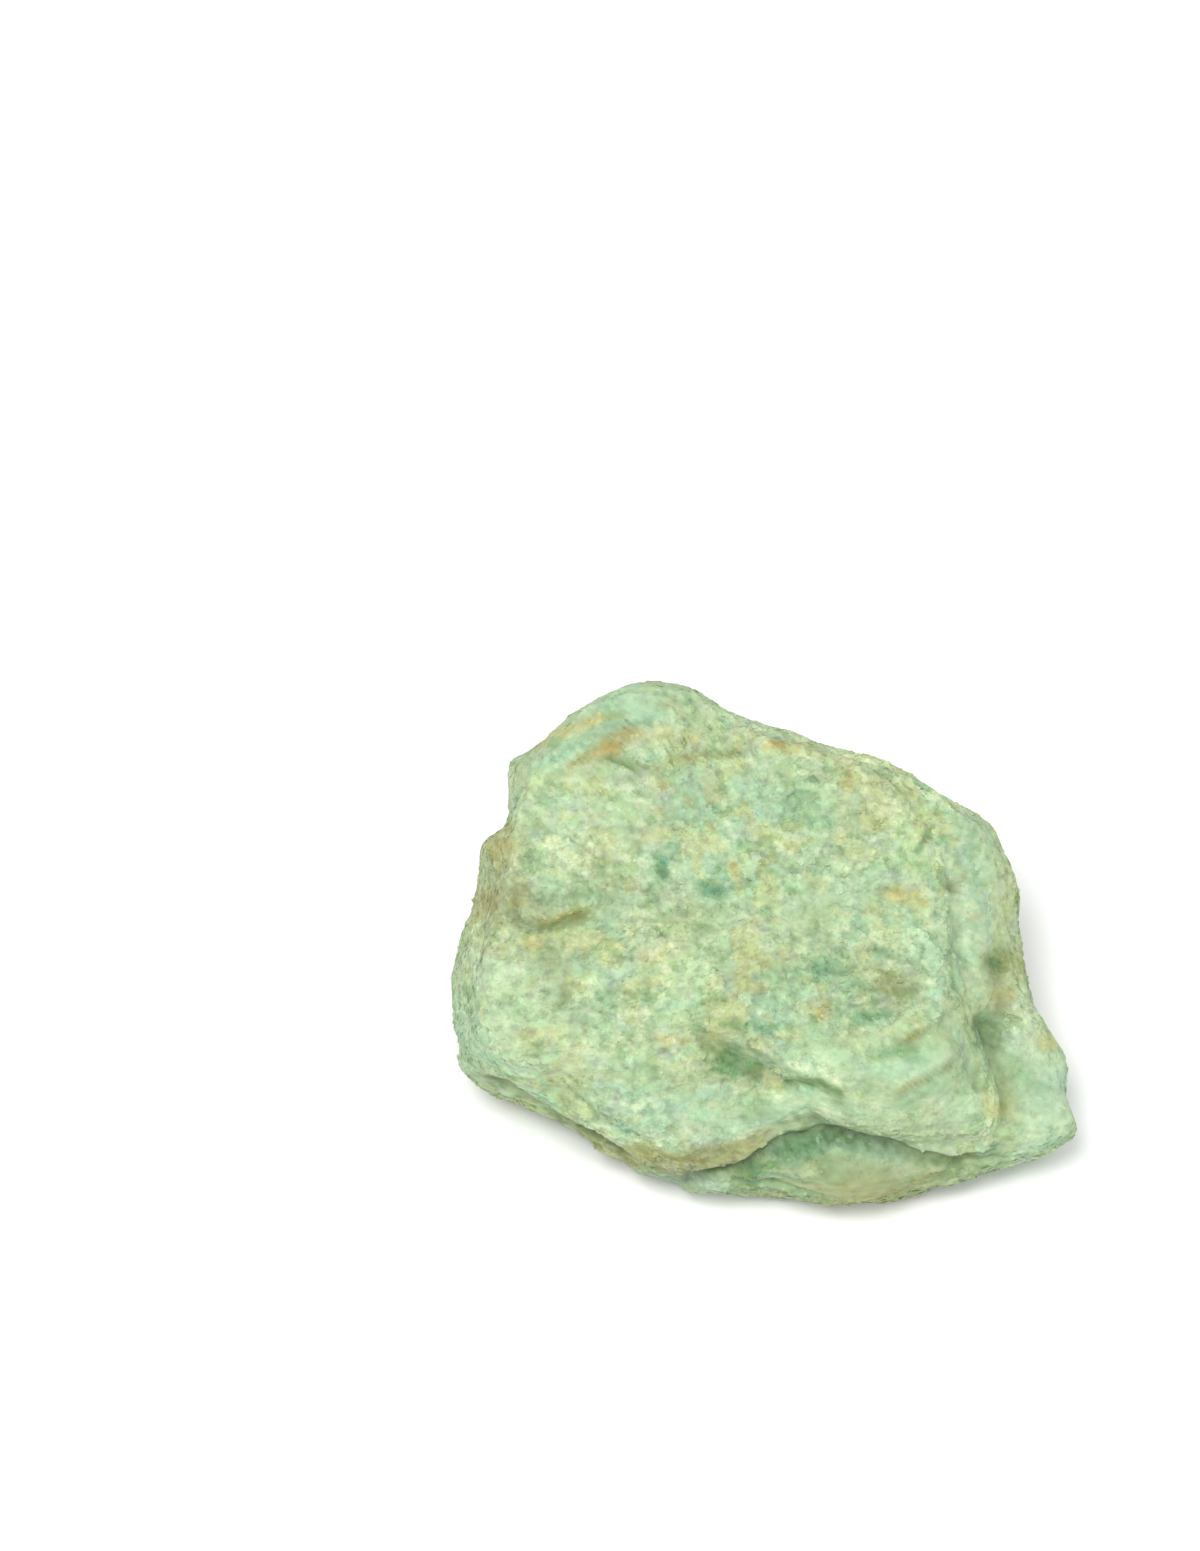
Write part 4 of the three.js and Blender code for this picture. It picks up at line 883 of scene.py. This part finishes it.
class Graph:
    """Adds nodes to a material. Inputs go by name or number, and are values or other nodes' sockets."""

    def __init__(self, name):
        self.material = bpy.data.materials.new(name)
        self.material.use_nodes = True
        self.tree = self.material.node_tree
        self.shader = self.tree.nodes["Principled BSDF"]

    def add(self, kind, inputs=None, **options):
        """A new node of this kind, with its options set and its inputs filled."""
        node = self.tree.nodes.new(kind)
        for key, value in options.items():
            setattr(node, key, value)
        self.fill(node, inputs or {})
        return node

    def fill(self, node, inputs):
        """Links each input that is a socket and sets each that is a value."""
        for key, value in inputs.items():
            if isinstance(value, bpy.types.NodeSocket):
                self.tree.links.new(value, node.inputs[key])
            else:
                node.inputs[key].default_value = value

    def attribute(self, name):
        """A point attribute of the mesh."""
        return self.add("ShaderNodeAttribute", attribute_name=name).outputs["Fac"]

    def math(self, operation, a, b=0.0, c=0.0):
        """One sum, product or other operation on two or three numbers."""
        return self.add("ShaderNodeMath", {0: a, 1: b, 2: c}, operation=operation).outputs[0]

    def vector(self, operation, inputs):
        """One operation on vectors."""
        return self.add("ShaderNodeVectorMath", inputs, operation=operation).outputs[0]

    def blend(self, amount, a, b, kind="MIX"):
        """Colour a towards colour b by an amount from 0 to 1."""
        node = self.add("ShaderNodeMix", {0: amount, 6: a, 7: b}, data_type="RGBA", blend_type=kind)
        return node.outputs[2]

    def stretch(self, value, low, high, to_low=0.0, to_high=1.0):
        """A value's range from low to high laid over another range, and held at its ends."""
        inputs = {0: value, 1: low, 2: high, 3: to_low, 4: to_high}
        return self.add("ShaderNodeMapRange", inputs).outputs[0]

    def noise(self, place, size, detail=3.0, roughness=0.6, seed=0.0):
        """Noise from 0 to 1 whose largest waves are this many millimetres."""
        inputs = {"Vector": place, "W": seed, "Scale": 1 / (size * MM)}
        inputs |= {"Detail": detail, "Roughness": roughness}
        return self.add("ShaderNodeTexNoise", inputs, noise_dimensions="4D").outputs["Fac"]

    def flecks(self, place, size, level, gather, seed):
        """Ragged spots where noise of this size is over a level, gathered by noise of a larger size."""
        spots = self.stretch(self.noise(place, size, 2.0, 0.5, seed), level, level + 0.08)
        crowd = self.stretch(self.noise(place, gather, 3.0, 0.6, seed + 5), 0.44, 0.6)
        return self.math("MULTIPLY", spots, crowd)

    def cells(self, place, size):
        """Random cells of about this many millimetres, as the node that has their colours."""
        return self.add("ShaderNodeTexVoronoi", {"Vector": place, "Scale": 1 / (size * MM)})


def opaque(colour):
    """A colour property as the four numbers that a socket takes."""
    return (*colour, 1.0)


def stained_ground(g, place, layered, mark, colours):
    """Mint and sage, stained grey, teal, tan and olive, with flecks of five colours in sugary places."""
    sage_share = g.stretch(g.noise(layered, 6.0, 4.0, 0.6), 0.38, 0.62)
    ground = g.blend(sage_share, opaque(colours.mint), opaque(colours.sage))
    grey_share = g.stretch(g.noise(place, 2.6, 4.0, 0.65), 0.5, 0.68, 0.0, 0.8)
    grey_share = g.math("MAXIMUM", grey_share, g.math("MULTIPLY", mark["grey"], 0.8))
    ground = g.blend(grey_share, ground, opaque(colours.grey))
    ground = g.blend(g.math("MULTIPLY", mark["teal"], 0.7), ground, opaque(colours.teal))
    for name, colour in (("tan", colours.tan), ("olive", colours.olive)):
        ground = g.blend(g.math("MULTIPLY", mark[name], 0.85), ground, opaque(colour))
    for colour, size, level, gather, strength, seed in (
        (colours.grey, 2.4, 0.52, 8.0, 0.5, 1.0),
        (colours.tan, 2.0, 0.55, 9.0, 0.45, 2.0),
        (colours.cream, 1.3, 0.53, 6.0, 0.55, 3.0),
        (colours.deep_green, 2.0, 0.57, 8.0, 0.45, 4.0),
        (colours.ash, 1.5, 0.58, 6.0, 0.35, 6.0),
    ):
        spots = g.math("MULTIPLY", g.flecks(layered, size, level, gather, seed), strength)
        ground = g.blend(g.math("MULTIPLY", spots, mark["sugary"]), ground, opaque(colour))
    return ground


def cream_rust_and_depths(g, layered, mark, colours, ground):
    """Cream on pale places and as a painted highlight on ridges, and less on stains, then ochre, dark
    specks and depths, which are deep green patches and painted shade, and painted shade in the hollows.
    """
    # cream on pale places, partly painted highlights on the rims
    light = g.math("MULTIPLY_ADD", mark["pale"], 0.12, g.noise(layered, 1.6, 3.5, 0.7))
    light = g.stretch(light, 0.5, 0.66)
    light = g.math("MULTIPLY", light, g.stretch(mark["pale"], 0, 1, 0.3, 1.0))
    # cream as a painted highlight on the ridges of the relief
    light = g.math("MAXIMUM", light, g.math("MULTIPLY", mark["painted_ridge_light"], 0.35))
    rusty = g.math("MAXIMUM", mark["tan"], g.math("MAXIMUM", mark["ochre"], mark["olive"]))
    light = g.math("MULTIPLY", light, g.stretch(rusty, 0, 1, 1.0, 0.35))
    light = g.math("MULTIPLY", light, g.stretch(mark["teal"], 0, 1, 1.0, 0.4))
    ground = g.blend(light, ground, opaque(colours.cream))
    rust = g.stretch(g.noise(layered, 0.9, 3.0, 0.7), 0.35, 0.55, 0.6, 1.0)
    ground = g.blend(g.math("MULTIPLY", mark["ochre"], rust), ground, opaque(colours.ochre))
    dark = g.stretch(g.noise(layered, 1.1, 3.0, 0.8), 0.54, 0.7, 0.0, 0.42)
    dark = g.math("MULTIPLY", dark, mark["sugary"])
    # deep green and teal patches, partly painted shade under the ledges, in the crevice and under the lip
    dark = g.math("MAXIMUM", dark, g.math("MULTIPLY", mark["deep"], 0.95))
    depths = g.blend(mark["teal"], opaque(colours.deep_green), opaque(colours.deep_teal))
    ground = g.blend(dark, ground, depths)
    # painted shade of the hollows, creases and crevice, in its own dark green
    return g.blend(g.math("MULTIPLY", mark["painted_shade"], 0.7), ground, opaque(colours.painted_shade))


def grainy(g, layered, mark, flake_share, ground):
    """The colour times a sugary grain of noise, the painted light and shade of the place, and a share of
    each flake's own.
    """
    grain = g.math("SUBTRACT", g.noise(layered, 1.1, 2.5, 0.55), 0.5)
    grain = g.math("MULTIPLY", grain, g.stretch(mark["sugary"], 0, 1, 0.3, 1.3))
    grain = g.math("ADD", grain, 1.0)
    grain = g.math("MULTIPLY", grain, g.stretch(mark["painted_light_and_tone"], 0, 1, 0.68, 1.17))
    grain = g.math("MULTIPLY", grain, g.stretch(flake_share, 0, 1, 0.95, 1.05))
    grey = g.add("ShaderNodeCombineColor", {0: grain, 1: grain, 2: grain}).outputs[0]
    return g.blend(1.0, ground, grey, "MULTIPLY")


def schist_material(colours, settings):
    """Mica schist: a stained and grainy green with painted light and shade, and flakes that each face a
    little apart and have a gloss of their own, so that they glint."""
    g = Graph("fuchsite_schist")
    place = g.add("ShaderNodeTexCoord").outputs["Object"]
    squeeze = {"Vector": place, "Rotation": (-float(LAYER_RISE), 0, 0), "Scale": (1, 1, 2.0)}
    layered = g.add("ShaderNodeMapping", squeeze).outputs[0]
    mark = {name: g.attribute(name) for name in MARKS}
    flake = g.cells(layered, 0.6).outputs["Color"]
    flake_share, _, flake_gloss = g.add("ShaderNodeSeparateColor", {0: flake}).outputs

    ground = stained_ground(g, place, layered, mark, colours)
    ground = cream_rust_and_depths(g, layered, mark, colours, ground)
    ground = grainy(g, layered, mark, flake_share, ground)

    turned = g.vector("SUBTRACT", {0: flake, 1: (0.5, 0.5, 0.5)})
    tilt = g.vector("SCALE", {0: turned, "Scale": settings.flake_tilt})
    normal = g.add("ShaderNodeNewGeometry").outputs["Normal"]
    facing = g.vector("NORMALIZE", {0: g.vector("ADD", {0: normal, 1: tilt})})
    grit = g.noise(layered, 0.5, 4.0, 0.7)
    heights = {"Strength": 0.4, "Distance": 0.1 * MM, "Height": grit, "Normal": facing}
    bump = g.add("ShaderNodeBump", heights)
    gloss = g.stretch(flake_gloss, 0.0, 1.0, 0.42, 0.68)
    g.fill(g.shader, {"Base Color": ground, "Roughness": gloss, "Normal": bump.outputs[0]})
    g.shader.inputs["Specular IOR Level"].default_value = 0.4
    return g.material


def floor_material(colour):
    """Matt pale paper with a faint tooth."""
    g = Graph("floor_paper")
    tooth = g.noise(g.add("ShaderNodeTexCoord").outputs["Object"], 1.5)
    bump = g.add("ShaderNodeBump", {"Strength": 0.05, "Distance": 0.1 * MM, "Height": tooth})
    g.fill(g.shader, {"Base Color": opaque(colour), "Roughness": 0.9, "Normal": bump.outputs[0]})
    return g.material


# ---- the stage ----

FLOOR_HALF = 1.5
KEY_PLACE = (-0.15, -0.2, 0.6)
KEY_SIZE = 0.3
FILL_PLACE = (0.35, -0.5, 0.35)
FILL_SIZE = 0.45
LENS = 120
SENSOR = 36
NEAREST_SEEN = 0.01


def add_light(name, place, size, power, aim):
    """A square area light that looks at a point."""
    light = bpy.data.lights.new(name, "AREA")
    light.size = size
    light.energy = power
    lamp = bpy.data.objects.new(name, light)
    lamp.location = place
    lamp.rotation_euler = (Vector(aim) - Vector(place)).to_track_quat("-Z", "Y").to_euler()
    bpy.context.scene.collection.objects.link(lamp)


def make_stage(settings):
    """Floor, white surroundings, two soft lights, and the camera looking down on the stone's face."""
    low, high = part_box(NODE)
    middle = (Vector(low) + Vector(high)) / 2
    mesh = bpy.data.meshes.new("floor")
    corners = [(FLOOR_HALF * x, FLOOR_HALF * y, 0) for x, y in ((-1, -1), (1, -1), (1, 1), (-1, 1))]
    mesh.from_pydata(corners, [], [(0, 1, 2, 3)])
    mesh.materials.append(floor_material(settings.floor_colour))
    floor = bpy.data.objects.new("floor", mesh)
    bpy.context.scene.collection.objects.link(floor)

    world = bpy.data.worlds.new("white_room")
    world.use_nodes = True
    background = world.node_tree.nodes["Background"]
    background.inputs["Color"].default_value = (1, 1, 1, 1)
    background.inputs["Strength"].default_value = settings.room_strength
    bpy.context.scene.world = world
    add_light("key", KEY_PLACE, KEY_SIZE, settings.key_power, middle)
    add_light("fill", FILL_PLACE, FILL_SIZE, settings.fill_power, middle)

    sin, cos = np.sin(settings.view_lean), np.cos(settings.view_lean)
    back, up = Vector((0, -cos, sin)), Vector((0, sin, cos))
    centre = Vector(SLAB_CENTRE * MM)
    aim = centre + Vector((settings.aim_right, 0, 0)) + up * settings.aim_up
    camera = bpy.data.cameras.new("camera")
    camera.lens = LENS
    camera.sensor_width = SENSOR
    camera.clip_start = NEAREST_SEEN
    eye = bpy.data.objects.new("camera", camera)
    eye.location = aim + back * settings.view_distance
    eye.rotation_euler = (-back).to_track_quat("-Z", "Y").to_euler()
    bpy.context.scene.collection.objects.link(eye)
    bpy.context.scene.camera = eye
    bpy.context.scene.view_settings.view_transform = "Standard"


# ---- what a user can change ----


def colour_property(name, description, default):
    """A colour of the stone or the stage."""
    return FloatVectorProperty(
        name=name, description=description, default=default, subtype="COLOR", min=0, max=1
    )


def length_property(name, description, default):
    """A length of the stone or the stage, in metres."""
    return FloatProperty(name=name, description=description, default=default, unit="LENGTH", precision=5)


def share_property(name, description, default, most=1.0):
    """A number from 0 up to a limit."""
    return FloatProperty(name=name, description=description, default=default, min=0, max=most)


class FuchsiteColours(bpy.types.PropertyGroup):
    """Colours of the schist"""

    mint: colour_property("Mint", "Lighter ground colour", (0.33, 0.52, 0.305))
    sage: colour_property("Sage", "Darker ground colour", (0.29, 0.41, 0.22))
    # cream is also the painted highlight on rims and ridges
    cream: colour_property("Cream", "Light mica flakes and worn ridges", (0.60, 0.67, 0.42))
    # deep green and deep teal are also painted as shade under the ledges, in the crevice and under the lip
    deep_green: colour_property("Deep green", "Chrome-rich patches and dark specks", (0.14, 0.265, 0.09))
    deep_teal: colour_property("Deep teal", "Chrome-rich patches in bluish places", (0.10, 0.26, 0.14))
    teal: colour_property("Teal", "Bluish green bands", (0.26, 0.46, 0.32))
    ochre: colour_property("Ochre", "Iron stains", (0.385, 0.30, 0.08))
    tan: colour_property("Tan", "Iron-tinted layers and flecks", (0.44, 0.43, 0.165))
    olive: colour_property("Olive", "Dark iron stains", (0.235, 0.262, 0.085))
    grey: colour_property("Grey", "Quartz-rich places", (0.37, 0.45, 0.36))
    ash: colour_property("Ash", "Dull mauve flecks", (0.30, 0.32, 0.26))
    # colour of the painted shade in the hollows, creases and crevice
    painted_shade: colour_property("Painted shade", "What lies in hollows and crevices", (0.10, 0.145, 0.055))


class FuchsiteStone(bpy.types.PropertyGroup):
    """Shape of the stone"""

    grid_cells: IntProperty(
        name="Grid cells", description="Cells across half, a multiple of six", default=222, min=12, max=222
    )
    layer_step: length_property("Layer step", "Height of a broken layer", 0.0014)
    plate_step: length_property("Plate step", "Thickness of a split plate", 0.0005)
    flake_relief: share_property("Flake relief", "Depth of the flakes", 1.0, 3.0)
    flake_tilt: share_property("Flake tilt", "How far flakes glint apart", 0.35)


class FuchsiteScales(bpy.types.PropertyGroup):
    """Mica scales on the stone"""

    fine_count: IntProperty(name="Fine scales", description="How many", default=24000, min=1, max=24900)
    coarse_count: IntProperty(name="Coarse scales", description="How many", default=14000, min=1, max=24900)
    fine_size: length_property("Fine size", "Half width of a fine scale", 0.00017)
    coarse_size: length_property("Coarse size", "Half width of a coarse scale", 0.00034)
    scale_stand: length_property("Stand", "How far a scale stands out", 0.00003)
    scale_tilt: share_property("Tilt", "How far scales lean", 0.07)
    seed: IntProperty(name="Seed", description="Another seed gives another scatter", default=7)


class FuchsiteStage(bpy.types.PropertyGroup):
    """Floor, lights and camera"""

    floor_colour: colour_property("Floor", "Paper under the stone", (0.86, 0.86, 0.86))
    room_strength: FloatProperty(name="Room", description="Light from all round", default=0.8, min=0)
    key_power: FloatProperty(name="Key", description="Main light", default=3.0, min=0, unit="POWER")
    fill_power: FloatProperty(name="Fill", description="Second light", default=1.0, min=0, unit="POWER")
    view_lean: FloatProperty(
        name="View", description="How far the camera looks down", default=float(FACE_LEAN), subtype="ANGLE"
    )
    view_distance: length_property("Distance", "From the camera to the stone", 0.5005)
    aim_right: length_property("Aim right", "Where the camera looks, right of the stone", -0.01597)
    aim_up: length_property("Aim up", "Where the camera looks, above the stone", 0.01641)


class FUCHSITE_OT_stone(bpy.types.Operator):
    """Make the stone's broken surface"""

    bl_idname = "fuchsite.stone"
    bl_label = "Stone"

    def execute(self, context):
        settings = context.scene.fuchsite_stone
        stone = make_stone(settings, schist_material(context.scene.fuchsite_colours, settings))
        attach(stone, BODY)
        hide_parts(NODE)
        return {"FINISHED"}


class FUCHSITE_OT_scales(bpy.types.Operator):
    """Scatter scales of mica over the stone"""

    bl_idname = "fuchsite.scales"
    bl_label = "Mica scales"

    def execute(self, context):
        stone = bpy.data.objects.get(STONE)
        if stone is None:
            raise RuntimeError("the stone comes first: its scales lie on it")
        settings = context.scene.fuchsite_scales
        kinds = [
            (FINE_SCALES, settings.fine_count, settings.fine_size),
            (COARSE_SCALES, settings.coarse_count, settings.coarse_size),
        ]
        for order, (name, count, size) in enumerate(kinds):
            scales = make_scales(name, stone, count, size, settings, settings.seed + order)
            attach(scales, BODY)
        return {"FINISHED"}


class FUCHSITE_OT_stage(bpy.types.Operator):
    """Set up the floor, the lights and the camera"""

    bl_idname = "fuchsite.stage"
    bl_label = "Stage"

    def execute(self, context):
        make_stage(context.scene.fuchsite_stage)
        return {"FINISHED"}


class FUCHSITE_PT_panel(bpy.types.Panel):
    """Buttons and settings for the stone"""

    bl_idname = "FUCHSITE_PT_panel"
    bl_label = "Raw Fuchsite Stone"
    bl_space_type = "VIEW_3D"
    bl_region_type = "UI"
    bl_category = "Fuchsite"

    def draw(self, context):
        for operator, groups in STEPS:
            self.layout.operator(operator)
            for group in groups:
                settings = getattr(context.scene, group)
                for name in settings.__annotations__:
                    self.layout.prop(settings, name)


STEPS = [
    ("fuchsite.stone", ("fuchsite_stone", "fuchsite_colours")),
    ("fuchsite.scales", ("fuchsite_scales",)),
    ("fuchsite.stage", ("fuchsite_stage",)),
]
GROUPS = {
    "fuchsite_stone": FuchsiteStone,
    "fuchsite_colours": FuchsiteColours,
    "fuchsite_scales": FuchsiteScales,
    "fuchsite_stage": FuchsiteStage,
}
CLASSES = [*GROUPS.values(), FUCHSITE_OT_stone, FUCHSITE_OT_scales, FUCHSITE_OT_stage, FUCHSITE_PT_panel]


def register():
    """Adds the classes, and a group of settings of each kind to the scene."""
    for cls in CLASSES:
        bpy.utils.register_class(cls)
    for name, group in GROUPS.items():
        setattr(bpy.types.Scene, name, PointerProperty(type=group))


def unregister():
    """Takes the settings and the classes away again."""
    for name in GROUPS:
        delattr(bpy.types.Scene, name)
    for cls in reversed(CLASSES):
        bpy.utils.unregister_class(cls)


def main():
    """Registers the classes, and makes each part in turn."""
    register()
    bpy.ops.fuchsite.stone()
    bpy.ops.fuchsite.scales()
    bpy.ops.fuchsite.stage()


if __name__ == "__main__":
    main()
